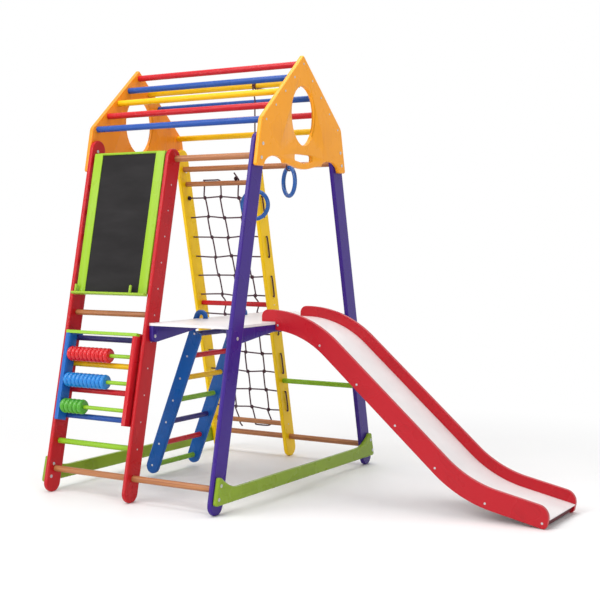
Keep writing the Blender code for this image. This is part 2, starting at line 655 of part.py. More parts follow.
def slide_line():
    """Middle line of the slide's boards as (point, downward slope), from the deck to the tip."""
    half = SLIDE_BOARD_WIDTH / 2
    head_z = DECK_TOP + SLIDE_SHEET_LIFT + SLIDE_SHEET_THICK + SLIDE_SHEET_DEPTH - half
    tip_z = (FLOOR_GAP + half * math.cos(SLIDE_RUNOUT_SLOPE)
             + SLIDE_HEEL_ROUND * (1 - math.cos(SLIDE_RUNOUT_SLOPE) - math.sin(SLIDE_RUNOUT_SLOPE)))
    crest_drop = SLIDE_CREST_RADIUS * (1 - math.cos(SLIDE_SLOPE))
    runout_drop = SLIDE_RUNOUT_RADIUS * (math.cos(SLIDE_RUNOUT_SLOPE) - math.cos(SLIDE_SLOPE))
    end_drop = SLIDE_RUNOUT_LENGTH * math.sin(SLIDE_RUNOUT_SLOPE)
    straight = (head_z - tip_z - crest_drop - runout_drop - end_drop) / math.sin(SLIDE_SLOPE)

    point = Vector((SLIDE_START_X, head_z))
    line = [(point.copy(), 0.0)]
    point += Vector((SLIDE_LEVEL_LENGTH, 0))
    centre = point - Vector((0, SLIDE_CREST_RADIUS))
    for step in range(9):
        slope = SLIDE_SLOPE * step / 8
        line.append((centre + SLIDE_CREST_RADIUS * Vector((math.sin(slope), math.cos(slope))), slope))
    point = line[-1][0] + straight * Vector((math.cos(SLIDE_SLOPE), -math.sin(SLIDE_SLOPE)))
    centre = point + SLIDE_RUNOUT_RADIUS * Vector((math.sin(SLIDE_SLOPE), math.cos(SLIDE_SLOPE)))
    for step in range(7):
        slope = SLIDE_SLOPE + (SLIDE_RUNOUT_SLOPE - SLIDE_SLOPE) * step / 6
        line.append((centre - SLIDE_RUNOUT_RADIUS * Vector((math.sin(slope), math.cos(slope))), slope))
    end = Vector((math.cos(SLIDE_RUNOUT_SLOPE), -math.sin(SLIDE_RUNOUT_SLOPE)))
    line.append((line[-1][0] + SLIDE_RUNOUT_LENGTH * end, SLIDE_RUNOUT_SLOPE))
    return line


def offset(line, distance):
    """The slide's line moved square to itself, upwards where the distance is positive."""
    return [point + distance * Vector((math.sin(slope), math.cos(slope))) for point, slope in line]


def slide_board_outline(line):
    half = SLIDE_BOARD_WIDTH / 2
    top = offset(line, half)
    bottom = offset(line, -half)
    notch_x = DECK_RIGHT + SEAT
    notch_z = DECK_TOP + SEAT
    corners = [(SLIDE_START_X, notch_z, SLIDE_LIP_ROUND), (SLIDE_START_X, top[0].y, SLIDE_HEAD_ROUND)]
    corners += [(point.x, point.y, 0) for point in top[1:-1]]
    corners += [(top[-1].x, top[-1].y, SLIDE_TIP_ROUND), (bottom[-1].x, bottom[-1].y, SLIDE_HEEL_ROUND)]
    kept = [point for point in bottom[1:-1] if point.x > notch_x + SLIDE_EDGE]
    corners += [(point.x, point.y, 0) for point in reversed(kept)]
    corners += [(notch_x, bottom[0].y, SLIDE_NOTCH_ROUND), (notch_x, notch_z, 0)]
    return rounded(corners)


def batten_places(line):
    """(point, slope) of each cross batten, at equal steps along the line from the deck's edge to the tip."""
    lengths = [0.0]
    for (before, _), (after, _) in zip(line, line[1:]):
        lengths.append(lengths[-1] + (after - before).length)
    first = DECK_RIGHT + BATTEN_HEAD_GAP + BATTEN_WIDTH / 2 - SLIDE_START_X
    last = lengths[-1] - BATTEN_WIDTH
    places = []
    for index in range(BATTEN_COUNT):
        wanted = first + (last - first) * index / (BATTEN_COUNT - 1)
        leg = max(place for place, length in enumerate(lengths[:-1]) if length <= wanted)
        share = (wanted - lengths[leg]) / (lengths[leg + 1] - lengths[leg])
        point = line[leg][0].lerp(line[leg + 1][0], share)
        places.append((point, line[leg][1] + (line[leg + 1][1] - line[leg][1]) * share))
    return places


def make_slide(frame):
    line = slide_line()
    outline = slide_board_outline(line)
    inner = SLIDE_HALF_WIDTH - SLIDE_BOARD_THICK
    for name, low in (("slide_side_front", -SLIDE_HALF_WIDTH), ("slide_side_rear", inner)):
        side = prism(name, outline, low, low + SLIDE_BOARD_THICK, "red", frame, axis="Y")
        round_edges(side, SLIDE_EDGE, 1, "Y")

    sheet_top = SLIDE_BOARD_WIDTH / 2 - SLIDE_SHEET_DEPTH
    sheet_under = sheet_top - SLIDE_SHEET_THICK
    half_sheet = inner - SEAT
    upper = [(point.x, point.y) for point in offset(line, sheet_top)]
    under = [(point.x, point.y) for point in offset(line, sheet_under)]
    sheet = prism("slide_sheet", upper + under[::-1], -half_sheet, half_sheet, "white", frame, axis="Y")
    batten_low = sheet_under - BATTEN_HEIGHT
    batten_high = sheet_top - SLIDE_SHEET_THICK / 2
    battens = bmesh.new()
    for point, slope in batten_places(line):
        along = Vector((math.cos(slope), -math.sin(slope)))
        up = Vector((math.sin(slope), math.cos(slope)))
        corners = []
        for run, rise in box_outline(-BATTEN_WIDTH / 2, BATTEN_WIDTH / 2, batten_low, batten_high):
            corner = point + along * run + up * rise
            corners.append((corner.x, corner.y))
        add_prism(battens, corners, -half_sheet, half_sheet, axis="Y")
    combine(sheet, finish("slide_battens", battens, "red", frame), "UNION")
    return max(a for a, _ in outline)


def make_ladder(frame):
    """Modelled upright on its middle line; the holder leans it against the deck."""
    holder = empty("hooked_ladder_line", (LADDER_FLOOR_X, 0, 0), (0, LADDER_TILT, 0), frame)
    half = LADDER_RAIL_WIDTH / 2
    lean = Matrix.Rotation(LADDER_TILT, 2)
    corner = lean @ Vector((DECK_LEFT - LADDER_FLOOR_X, DECK_TOP))
    wall = corner.x - SEAT
    far_wall = wall + CLAW_OPENING
    arch_z = corner.y + CLAW_ARCH_RISE
    foot_z = (LADDER_FOOT_Z + half) / math.cos(LADDER_TILT)
    mouth_z = arch_z - MOUTH_DEPTH
    top_rung_z = mouth_z - MOUTH_WOOD
    tip_z = corner.y - CLAW_TIP_DEPTH / math.cos(LADDER_TILT) + (far_wall - wall) * math.tan(LADDER_TILT)
    lower = arc((0, foot_z), half, -180, 0, 8)
    slot = arc((wall + CLAW_OPENING / 2, arch_z), CLAW_OPENING / 2, 180, 0, 6)
    crown = arc((0, arch_z), half, 0, 180, 8)
    mouth = [(half, mouth_z - MOUTH_SLANT_DROP, MOUTH_SLANT_ROUND),
             (half - MOUTH_SLANT_RUN, mouth_z, MOUTH_CORNER_ROUND), (wall, mouth_z, MOUTH_INNER_ROUND)]
    tip = [(far_wall, tip_z, CLAW_TIP_INNER_ROUND), (half, tip_z, CLAW_TIP_OUTER_ROUND)]
    outline = rounded(sharp(lower) + mouth + sharp(slot) + tip + sharp(crown))
    inner = LADDER_HALF_WIDTH - LADDER_RAIL_THICK
    rear = prism("ladder_rail_rear", outline, inner, LADDER_HALF_WIDTH, "ladder_blue", holder, axis="Y")
    front = prism("ladder_rail_front", outline, -LADDER_HALF_WIDTH, -inner, "ladder_blue", holder, axis="Y")
    round_edges(rear, LADDER_EDGE, 1, "Y")
    round_edges(front, LADDER_EDGE, 1, "Y")
    rungs = bmesh.new()
    rung_end = inner + LADDER_RAIL_THICK / 2
    for index in range(LADDER_RUNG_COUNT):
        height = top_rung_z - LADDER_RUNG_STEP * index
        add_rod(rungs, (0, -inner + SEAT, height), (0, rung_end, height), LADDER_RUNG_RADIUS, 12)
    combine(rear, finish("ladder_rungs", rungs, "navy", holder), "UNION")


def make_chalkboard(slope):
    """In the front slope's frame: Z runs up the slope, and -Y is the side that faces out."""
    front = -CHALK_FRONT
    back = front + CHALK_THICK
    left = CHALK_MIDDLE_X - CHALK_WIDTH / 2
    right = CHALK_MIDDLE_X + CHALK_WIDTH / 2
    bar_y = FRONT_TOP_BAR_INSET
    bar_z = slope_place(FRONT_TOP_BAR_Z, FRONT_TOP_BAR_INSET)
    seat_z = bar_z + BAR_RADIUS + SEAT
    top = seat_z + CHALK_HOOK_THICK
    hook_inner = bar_y + BAR_RADIUS + HOLE_GAP
    hook_outer = hook_inner + CHALK_HOOK_THICK
    ledge_z = along_slope(LEDGE_BOTTOM_Z)
    rest_z = along_slope(RUNG_HEIGHTS[CHALK_REST_RUNG])
    rest_y = -RUNG_RADIUS - SEAT
    stile = rounded([
        (front, ledge_z, 0), (back, ledge_z, 0), (back, rest_z - RUNG_RADIUS, 0),
        (rest_y, rest_z - RUNG_RADIUS, 0), (rest_y, rest_z + RUNG_RADIUS, 0), (back, rest_z + RUNG_RADIUS, 0),
        (back, seat_z, CHALK_SEAT_ROUND), (hook_inner, seat_z, 0), (hook_inner, bar_z, 0),
        (hook_outer, bar_z, 0), (hook_outer, top, CHALK_HOOK_ROUND), (front, top, CHALK_TOP_ROUND),
    ], 3)
    frame_shape = prism("chalkboard_frame", stile, left, left + CHALK_STILE_WIDTH, "lime", slope)
    other = bmesh.new()
    add_prism(other, stile, right - CHALK_STILE_WIDTH, right)
    combine(frame_shape, finish("chalkboard_right_stile", other, "lime", slope), "UNION")
    strip_low = top - CHALK_TOP_STRIP
    strip_outline = box_outline(front + SEAT, back - SEAT, strip_low, top - SEAT)
    strip = prism("chalkboard_top_strip", strip_outline, left + CHALK_STILE_WIDTH / 2,
                  right - CHALK_STILE_WIDTH / 2, "lime", slope)
    combine(frame_shape, strip, "UNION")
    panel_outline = box_outline(front + CHALK_PANEL_RECESS, back - SEAT, ledge_z + SEAT, strip_low - SEAT)
    prism("chalkboard_panel", panel_outline, left + CHALK_STILE_WIDTH + SEAT,
          right - CHALK_STILE_WIDTH - SEAT, "chalk", slope)
    ledge_y = front - SEAT
    ledge_outline = box_outline(ledge_y - LEDGE_DEPTH, ledge_y, ledge_z, ledge_z + LEDGE_THICK)
    ledge = prism("chalkboard_ledge", ledge_outline, CHALK_MIDDLE_X - LEDGE_WIDTH / 2,
                  CHALK_MIDDLE_X + LEDGE_WIDTH / 2, "lime", slope)
    round_edges(ledge, LEDGE_EDGE, 1)


def bead_row(name, count, width, colour, slope, location):
    """A row of discs with round rims, turned round its rod."""
    bore = ROD_RADIUS + BEAD_GAP
    rim = [(0.0, BEAD_GROOVE), (BEAD_RIM, 0.0), (1 - BEAD_RIM, 0.0)]
    profile = [(0.0, bore)]
    for bead in range(count):
        profile += [((bead + share) * width, BEAD_RADIUS - drop) for share, drop in rim]
    profile += [(count * width, BEAD_RADIUS - BEAD_GROOVE), (count * width, bore)]
    sides = 16
    rings = []
    for side in range(sides):
        angle = 2 * math.pi * side / sides
        rings.append([(x, reach * math.cos(angle), reach * math.sin(angle)) for x, reach in profile])
    shape = bmesh.new()
    skin(shape, rings, closed=True)
    finish(name, shape, colour, slope, location)


def make_abacus(slope):
    """In the front slope's frame: it hangs by two hooked sides on a rung and leans on a lower one."""
    middle = (LEFT_SPAN[0] + LEFT_SPAN[1]) / 2
    left = middle - ABACUS_WIDTH / 2
    right = middle + ABACUS_WIDTH / 2
    rung_z = along_slope(RUNG_HEIGHTS[ABACUS_RUNG])
    back = -RUNG_RADIUS - SEAT
    front = back - ABACUS_DEPTH
    bottom = along_slope(ABACUS_BOTTOM_Z)
    seat_z = rung_z + RUNG_RADIUS + SEAT
    top = seat_z + ABACUS_TOP_THICK
    hook_inner = RUNG_RADIUS + HOLE_GAP
    hook_outer = hook_inner + ABACUS_HOOK_THICK
    rebate = front + ABACUS_TOP_DEPTH
    side = rounded([
        (front, bottom, ABACUS_FOOT_ROUND), (back, bottom, ABACUS_FOOT_ROUND), (back, seat_z, 0),
        (hook_inner, seat_z, 0), (hook_inner, rung_z, 0), (hook_outer, rung_z, 0),
        (hook_outer, top, ABACUS_HOOK_ROUND), (rebate, top, 0),
        (rebate, top - ABACUS_TOP_THICK, 0), (front, top - ABACUS_TOP_THICK, 0),
    ], 3)
    prism("abacus_side_left", side, left, left + ABACUS_SIDE_THICK, "ladder_blue", slope)
    right_side = prism("abacus_side_right_and_rods", side, right - ABACUS_SIDE_THICK, right, "red", slope)
    rod_y = (front + back) / 2
    rod_heights = [rung_z - ROD_BELOW_RUNG - along_slope(RUNG_STEP) * row for row in range(len(BEAD_ROWS))]
    rods = bmesh.new()
    inner_left = left + ABACUS_SIDE_THICK + SEAT
    rod_end = right - ABACUS_SIDE_THICK / 2
    for height in rod_heights:
        add_rod(rods, (inner_left, rod_y, height), (rod_end, rod_y, height), ROD_RADIUS, 12)
    combine(right_side, finish("abacus_rods", rods, "lime", slope), "UNION")
    strip = box_outline(front, rebate - SEAT, top - ABACUS_TOP_THICK + SEAT, top)
    prism("abacus_top_strip", strip, left, right, "lime", slope)
    for (colour, count, width), height in zip(BEAD_ROWS, rod_heights):
        bead_row("abacus_beads_" + colour, count, width, colour, slope, (inner_left, rod_y, height))


def net_x(strand, height):
    """Place of an upright rope at a height: it leans as the photographed one does."""
    deck_z = REAR_RED_RUNG_Z
    if height > deck_z:
        share = (height - deck_z) / (NET_HEIGHTS[0] - deck_z)
        place = NET_DECK_SHARES[strand] + (NET_TOP_SHARES[strand] - NET_DECK_SHARES[strand]) * share
    else:
        share = (deck_z - height) / (deck_z - NET_HEIGHTS[-1])
        place = NET_DECK_SHARES[strand] + (NET_BOTTOM_SHARES[strand] - NET_DECK_SHARES[strand]) * share
    low = -END_RAIL_INNER
    return low + (-MIDDLE_RAIL_FACE - low) * place


def net_knot(strand, row):
    """Where a level rope and an upright one are knotted, a few millimetres off the true grid."""
    height = NET_HEIGHTS[row]
    drift = KNOT_DRIFT * math.sin(DRIFT_PER_ROW * row + DRIFT_PER_STRAND * strand)
    return Vector((net_x(strand, height), 0, along_slope(height + drift)))


def lacing_turn(row, side):
    """The stretch of the level rope outside a rail, from this row's hole to the next one's."""
    here = along_slope(NET_HEIGHTS[row])
    below = along_slope(NET_HEIGHTS[row + 1])
    face = MIDDLE_RAIL_FACE if side > 0 else -END_RAIL_OUTER
    out = face + side * NET_ROPE_OVERHANG
    board_low = DECK_BOARD_TOP - DECK_BOARD_END_HEIGHT
    if side > 0 and board_low < NET_HEIGHTS[row] < DECK_BOARD_TOP:
        over_board = DECK_LEFT + DECK_BOARD_THICK + NET_ROPE_OVERHANG
        clear = along_slope(board_low) - 2 * NET_ROPE_OVERHANG
        return [(over_board - LACING_CORNER, 0, here), (over_board, 0, here - LACING_EASE),
                (over_board, 0, clear), (out, 0, clear - 2 * LACING_EASE),
                (out, 0, below + LACING_EASE), (out - LACING_CORNER, 0, below)]
    return [(out - side * LACING_CORNER, 0, here), (out, 0, here - LACING_EASE),
            (out, 0, below + LACING_EASE), (out - side * LACING_CORNER, 0, below)]


def make_net(slope):
    """In the rear slope's frame: a rope laced level through the rails, knotted to one laced up and down."""
    end_x = -END_RAIL_OUTER - NET_ROPE_OVERHANG - NET_END_TAIL
    level = [(end_x, 0, along_slope(NET_HEIGHTS[0]))]
    for row in range(NET_ROWS):
        rightwards = row % 2 == 0
        here = along_slope(NET_HEIGHTS[row])
        stretch = [(-END_RAIL_INNER + NET_ROPE_OVERHANG, 0, here)]
        stretch += [net_knot(strand, row) for strand in range(3)]
        stretch.append((-MIDDLE_RAIL_FACE - NET_ROPE_OVERHANG, 0, here))
        level += stretch if rightwards else stretch[::-1]
        if row < NET_ROWS - 1:
            level += lacing_turn(row, 1 if rightwards else -1)
    level.append((end_x, 0, along_slope(NET_HEIGHTS[-1])))

    wrap = RUNG_RADIUS + ROPE_RADIUS + 2 * SEAT
    top = along_slope(NET_TOP_RUNG_Z)
    bottom = along_slope(NET_BOTTOM_RUNG_Z)
    red = along_slope(REAR_RED_RUNG_Z)

    def strand_points(strand):
        """From the top row to the bottom one, passing in front of the red rung."""
        points = []
        for row in range(NET_ROWS):
            points.append(net_knot(strand, row))
            if row + 1 < NET_ROWS and NET_HEIGHTS[row] > REAR_RED_RUNG_Z > NET_HEIGHTS[row + 1]:
                points.append((net_x(strand, REAR_RED_RUNG_Z), -wrap - ROPE_PASS_GAP, red))
        return points

    def round_rung(x, side, along, up):
        """From in front of a net rung to the middle of its upper or lower side."""
        return [(x, -wrap - ROPE_SLACK, along),
                (x + side * ROPE_TURN_SHIFT, -wrap * 0.7, along + up * wrap * 0.9),
                (x + side * ROPE_TURN_REACH, 0, along + up * (wrap + ROPE_SLACK))]

    def over_top(strand, side):
        return round_rung(net_x(strand, NET_TOP_RUNG_Z), side, top, 1)

    def under_bottom(strand, side):
        return round_rung(net_x(strand, NET_BOTTOM_RUNG_Z), side, bottom, -1)

    first, second, third = (strand_points(strand) for strand in range(3))
    upright = under_bottom(0, 1)[::-1] + first[::-1] + over_top(0, 1)
    upright += over_top(1, -1)[::-1] + second + under_bottom(1, 1)
    upright += under_bottom(2, -1)[::-1] + third[::-1] + over_top(2, 1)
    run, out, rise = UPRIGHT_TOP_TAIL
    upright.append((net_x(2, NET_TOP_RUNG_Z) + run, out, top + wrap + rise))
    run, out, rise = UPRIGHT_BOTTOM_TAIL
    upright.insert(0, (net_x(0, NET_BOTTOM_RUNG_Z) + run, out, bottom - wrap - rise))

    shape = bmesh.new()
    add_rope(shape, level, ROPE_RADIUS, 6)
    net = finish("climbing_net", shape, "rope", slope)
    shape = bmesh.new()
    add_rope(shape, upright, ROPE_RADIUS, 6)
    combine(net, finish("net_upright_rope", shape, "rope", slope), "UNION")
    shape = bmesh.new()
    knots = [net_knot(strand, row) for strand in range(3) for row in range(NET_ROWS)]
    knots += [Vector(level[0]), Vector(level[-1])]
    for knot in knots:
        place = Matrix.Translation(knot)
        bmesh.ops.create_icosphere(shape, subdivisions=1, radius=KNOT_RADIUS, matrix=place)
    combine(net, finish("net_knots", shape, "rope", slope), "UNION")


def hanger_route(drop, turn):
    """A ring's rope, from its tail beside the knot, round the ring, up, and twice round the roof bar."""
    around = RING_TUBE_RADIUS + ROPE_RADIUS + HANGER_GAP
    side = Vector((-math.sin(turn), math.cos(turn), 0))
    ring_top = Vector((0, 0, -drop))
    knot = ring_top + Vector((0, 0, HANGER_NOOSE))
    apart = ROPE_RADIUS + HANGER_GAP / 2
    route = [knot - side * apart + Vector((0, 0, HANGER_KNOT_TAIL)), knot - side * apart]
    for degrees in range(165, 376, 21):
        angle = math.radians(degrees)
        route.append(ring_top + around * (side * math.cos(angle) + Vector((0, 0, math.sin(angle)))))
    route += [knot + side * apart, knot + side * apart + Vector((0, 0, HANGER_KNOT_RISE))]

    low = knot.z + HANGER_KNOT_EASE
    high = -HANGER_LEAD
    steps = round((high - low) / HANGER_SPACING)
    route += [Vector((0, 0, low + (high - low) * step / steps)) for step in range(steps + 1)]
    reach = ROOF_BAR_RADIUS + ROPE_RADIUS + HANGER_GAP
    first = 270 - math.degrees(math.acos(reach / HANGER_LEAD))
    for step in range(23):
        angle = math.radians(first - 30 * step)
        route.append(Vector((HANGER_PITCH * step / 12, reach * math.cos(angle), reach * math.sin(angle))))
    last = route[-1]
    return route + [last + Vector(step) for step in HANGER_TAIL]


def make_rings(frame):
    """Each ring and its rope hang from a holder on the middle of the roof bar, where they turn."""
    bar_y, bar_z = roof_bar_place(RING_BAR)
    for name, x, height, degrees in RINGS:
        holder = empty("ring_" + name + "_pivot", (x, bar_y, bar_z), (0, 0, 0), frame)
        turn = math.radians(degrees)
        drop = bar_z - height
        level = Vector((math.cos(turn), math.sin(turn), 0))
        across = Vector((-math.sin(turn), math.cos(turn), 0))
        rings = []
        for step in range(24):
            angle = 2 * math.pi * step / 24
            outward = level * math.cos(angle) + Vector((0, 0, math.sin(angle)))
            ring = []
            for corner in range(8):
                around = 2 * math.pi * corner / 8
                reach = outward * math.cos(around) + across * math.sin(around)
                ring.append(Vector((0, 0, -drop)) + outward * RING_RADIUS + reach * RING_TUBE_RADIUS)
            rings.append(ring)
        shape = bmesh.new()
        skin(shape, rings, closed=True)
        finish("ring_" + name, shape, "ladder_blue", holder)

        route = hanger_route(drop - RING_RADIUS, turn)
        curve = bpy.data.curves.new("ring_rope_" + name, "CURVE")
        curve.dimensions = "3D"
        curve.bevel_depth = ROPE_RADIUS
        curve.bevel_resolution = 2
        curve.use_fill_caps = True
        spline = curve.splines.new("POLY")
        spline.points.add(len(route) - 1)
        for place, point in zip(spline.points, route):
            place.co = (*point, 1)
        curve.materials.append(paint("rope"))
        rope = bpy.data.objects.new("ring_rope_" + name, curve)
        rope.parent = holder
        bpy.context.scene.collection.objects.link(rope)


def build():
    clear_scene()
    frame = empty("climbing_frame", (0, 0, 0), (0, 0, 0))
    slopes = {
        "front": empty("front_slope", (0, -FOOT_Y, 0), (-TILT, 0, 0), frame),
        "rear": empty("rear_slope", (0, FOOT_Y, 0), (TILT, 0, 0), frame),
    }
    make_gables(frame)
    make_roof_bars(frame)
    make_rails(slopes)
    make_bars_and_rungs(slopes)
    make_base_boards(frame)
    make_deck(frame)
    slide_tip = make_slide(frame)
    make_ladder(frame)
    make_chalkboard(slopes["front"])
    make_abacus(slopes["front"])
    make_net(slopes["rear"])
    make_rings(frame)
    frame.location.x = -(slide_tip - GABLE_OUTER) / 2


build()
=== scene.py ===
"""The looks of the indoor climbing frame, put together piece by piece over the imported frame.

Metres: X along the roof bars towards the slide's tip, Y across the two slopes, Z up from the floor.
"""

import math

import bpy
from mathutils import Matrix, Vector


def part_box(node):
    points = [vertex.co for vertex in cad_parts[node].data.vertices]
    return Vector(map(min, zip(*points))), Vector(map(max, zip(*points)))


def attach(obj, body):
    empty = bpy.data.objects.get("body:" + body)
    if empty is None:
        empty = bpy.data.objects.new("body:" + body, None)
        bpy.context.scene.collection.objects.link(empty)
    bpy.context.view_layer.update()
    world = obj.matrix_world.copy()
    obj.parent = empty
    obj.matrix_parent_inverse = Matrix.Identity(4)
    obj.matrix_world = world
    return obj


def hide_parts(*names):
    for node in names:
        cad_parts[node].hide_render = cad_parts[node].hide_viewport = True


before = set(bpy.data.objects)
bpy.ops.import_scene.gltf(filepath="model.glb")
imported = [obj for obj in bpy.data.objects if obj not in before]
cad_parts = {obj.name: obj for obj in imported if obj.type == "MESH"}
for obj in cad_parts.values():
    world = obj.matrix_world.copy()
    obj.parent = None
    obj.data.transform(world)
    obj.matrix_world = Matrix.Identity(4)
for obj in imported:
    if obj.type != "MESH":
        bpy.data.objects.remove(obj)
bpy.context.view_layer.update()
bpy.ops.object.select_all(action="DESELECT")


# The camera stands beside the slide's tip at the height of a child's shoulder.
# It looks a little down across the deck, at the side with the chalkboard and the abacus.
bpy.ops.object.camera_add(location=(2.2794, -3.9449, 0.9836),
                          rotation=(math.radians(87.044), 0, math.radians(31.427)))
photo_camera = bpy.context.object
photo_camera.name = "photo_camera"
photo_camera.data.lens = 70.5
photo_camera.data.sensor_width = 36
bpy.context.scene.camera = photo_camera


# Each ring hangs on a braided cord, 6 mm thick and plum, that is looped round the ring and knotted there.
# Its upper end goes twice round the upper yellow roof bar and is tucked in, with a short tail to the right.
ROPE_RADIUS = 0.003
RING_BAR = Vector((0, 0.0667, 1.6066))
ROOF_BAR_RADIUS = 0.0125
RING_TUBE_RADIUS = 0.0085
RING_RADIUS = 0.0565
RING_TOPS = {"left": (-0.3870, 1.1805, 12), "right": (-0.2229, 1.2705, -34)}   # x, height, turn in degrees
BRAID_PITCH = 0.011
STRANDS_ROUND = 3
KNOT_ABOVE_RING = 0.030
LOOP_RADIUS = 0.0125
BAR_APPROACH = 0.055            # how far under the bar the rope leaves its plumb line
TURN_ADVANCE = 0.0085           # how far each turn round the bar lies beside the one before
STEPS_PER_TURN = 12


def colour(code):
    """A screen colour such as D22027 as the linear one that a shader takes."""
    channels = [int(code[place:place + 2], 16) / 255 for place in (0, 2, 4)]
    return [channel / 12.92 if channel <= 0.04045 else ((channel + 0.055) / 1.055) ** 2.4
            for channel in channels] + [1.0]


def toned(code, factor):
    """A screen colour made darker or lighter by a factor."""
    return [min(channel * factor, 1) for channel in colour(code)[:3]] + [1]


def new_material(name):
    material = bpy.data.materials.new(name)
    material.use_nodes = True
    nodes = material.node_tree.nodes
    return material, nodes, material.node_tree.links, nodes["Principled BSDF"]


def calculated(nodes, links, operation, *values):
    """The result of one sum on sockets and numbers."""
    sum_node = nodes.new("ShaderNodeMath")
    sum_node.operation = operation
    for socket, value in zip(sum_node.inputs, values):
        if isinstance(value, (int, float)):
            socket.default_value = value
        else:
            links.new(value, socket)
    return sum_node.outputs[0]


def two_tones(nodes, links, shader, amount, low, high, tones):
    """Colours the surface from the first tone to the second as the amount goes from low to high."""
    ramp = nodes.new("ShaderNodeValToRGB")
    for element, position, tone in zip(ramp.color_ramp.elements, (low, high), tones):
        element.position = position
        element.color = tone
    links.new(amount, ramp.inputs["Fac"])
    links.new(ramp.outputs["Color"], shader.inputs["Base Color"])


def bumps(nodes, links, shader, height, strength, depth):
    """Raises the surface by the height socket, this deep in metres."""
    bump = nodes.new("ShaderNodeBump")
    bump.inputs["Strength"].default_value = strength
    bump.inputs["Distance"].default_value = depth
    links.new(height, bump.inputs["Height"])
    links.new(bump.outputs["Normal"], shader.inputs["Normal"])


def even_route(points, spacing):
    """Points at an even spacing on a smooth curve through these ones."""
    points = [Vector(point) for point in points]
    fine = []
    for index in range(len(points) - 1):
        before = points[max(index - 1, 0)]
        start = points[index]
        end = points[index + 1]
        after = points[min(index + 2, len(points) - 1)]
        for step in range(16):
            share = step / 16
            fine.append(0.5 * (2 * start + (end - before) * share
                               + (2 * before - 5 * start + 4 * end - after) * share ** 2
                               + (3 * start - before - 3 * end + after) * share ** 3))
    fine.append(points[-1])
    route = [fine[0]]
    left = spacing
    for here, there in zip(fine, fine[1:]):
        span = (there - here).length
        gone = 0.0
        while span - gone >= left:
            gone += left
            route.append(here.lerp(there, gone / span))
            left = spacing
        left -= span - gone
    return route


def route_length(points):
    return sum((there - here).length for here, there in zip(points, points[1:]))


def braided(name, shade, length):
    """Braided cord: strands that cross each other along the cord's own length, with a soft sheen, the grooves
    between strands painted darker as painted shade and the strand crowns lighter as painted highlight.
    """
    material, nodes, links, shader = new_material(name)
    split = nodes.new("ShaderNodeSeparateXYZ")
    links.new(nodes.new("ShaderNodeUVMap").outputs["UV"], split.inputs["Vector"])
    along = calculated(nodes, links, "MULTIPLY", split.outputs["X"], math.tau * round(length / BRAID_PITCH))
    around = calculated(nodes, links, "MULTIPLY", split.outputs["Y"], math.tau * STRANDS_ROUND)
    waves = [calculated(nodes, links, "SINE", calculated(nodes, links, operation, along, around))
             for operation in ("ADD", "SUBTRACT")]
    strands = calculated(nodes, links, "MAXIMUM", *waves)
    # Painted shade and highlight: the strand relief darkens the grooves to 0.45 of the colour and lightens
    # the crowns to 1.35.
    two_tones(nodes, links, shader, strands, 0.15, 1.0, (toned(shade, 0.45), toned(shade, 1.35)))
    bumps(nodes, links, shader, strands, 0.7, 0.0008)
    shader.inputs["Roughness"].default_value = 0.78
    shader.inputs["Sheen Weight"].default_value = 0.25
    return material


def lay_rope(name, route, shade, radius=ROPE_RADIUS):
    """A round rope along the route, as one curve with closed ends."""
    curve = bpy.data.curves.new(name, "CURVE")
    curve.dimensions = "3D"
    curve.bevel_depth = radius
    curve.bevel_resolution = 3
    curve.use_fill_caps = True
    spline = curve.splines.new("POLY")
    spline.points.add(len(route) - 1)
    for place, point in zip(spline.points, route):
        place.co = (*point, 1)
    rope = bpy.data.objects.new(name, curve)
    bpy.context.scene.collection.objects.link(rope)
    curve.materials.append(braided(name + "_braid", shade, route_length(route)))
    return rope


def alone(piece):
    bpy.ops.object.select_all(action="DESELECT")
    piece.select_set(True)
    bpy.context.view_layer.objects.active = piece


def settle(piece, name):
    """Gives a new piece its name and puts its place, turn and size into its mesh."""
    piece.name = name
    alone(piece)
    bpy.ops.object.transform_apply(location=True, rotation=True, scale=True)
    return piece


def join(pieces, name):
    bpy.ops.object.select_all(action="DESELECT")
    for piece in pieces:
        piece.select_set(True)
    bpy.context.view_layer.objects.active = pieces[0]
    if len(pieces) > 1:
        bpy.ops.object.join()
    return settle(bpy.context.object, name)


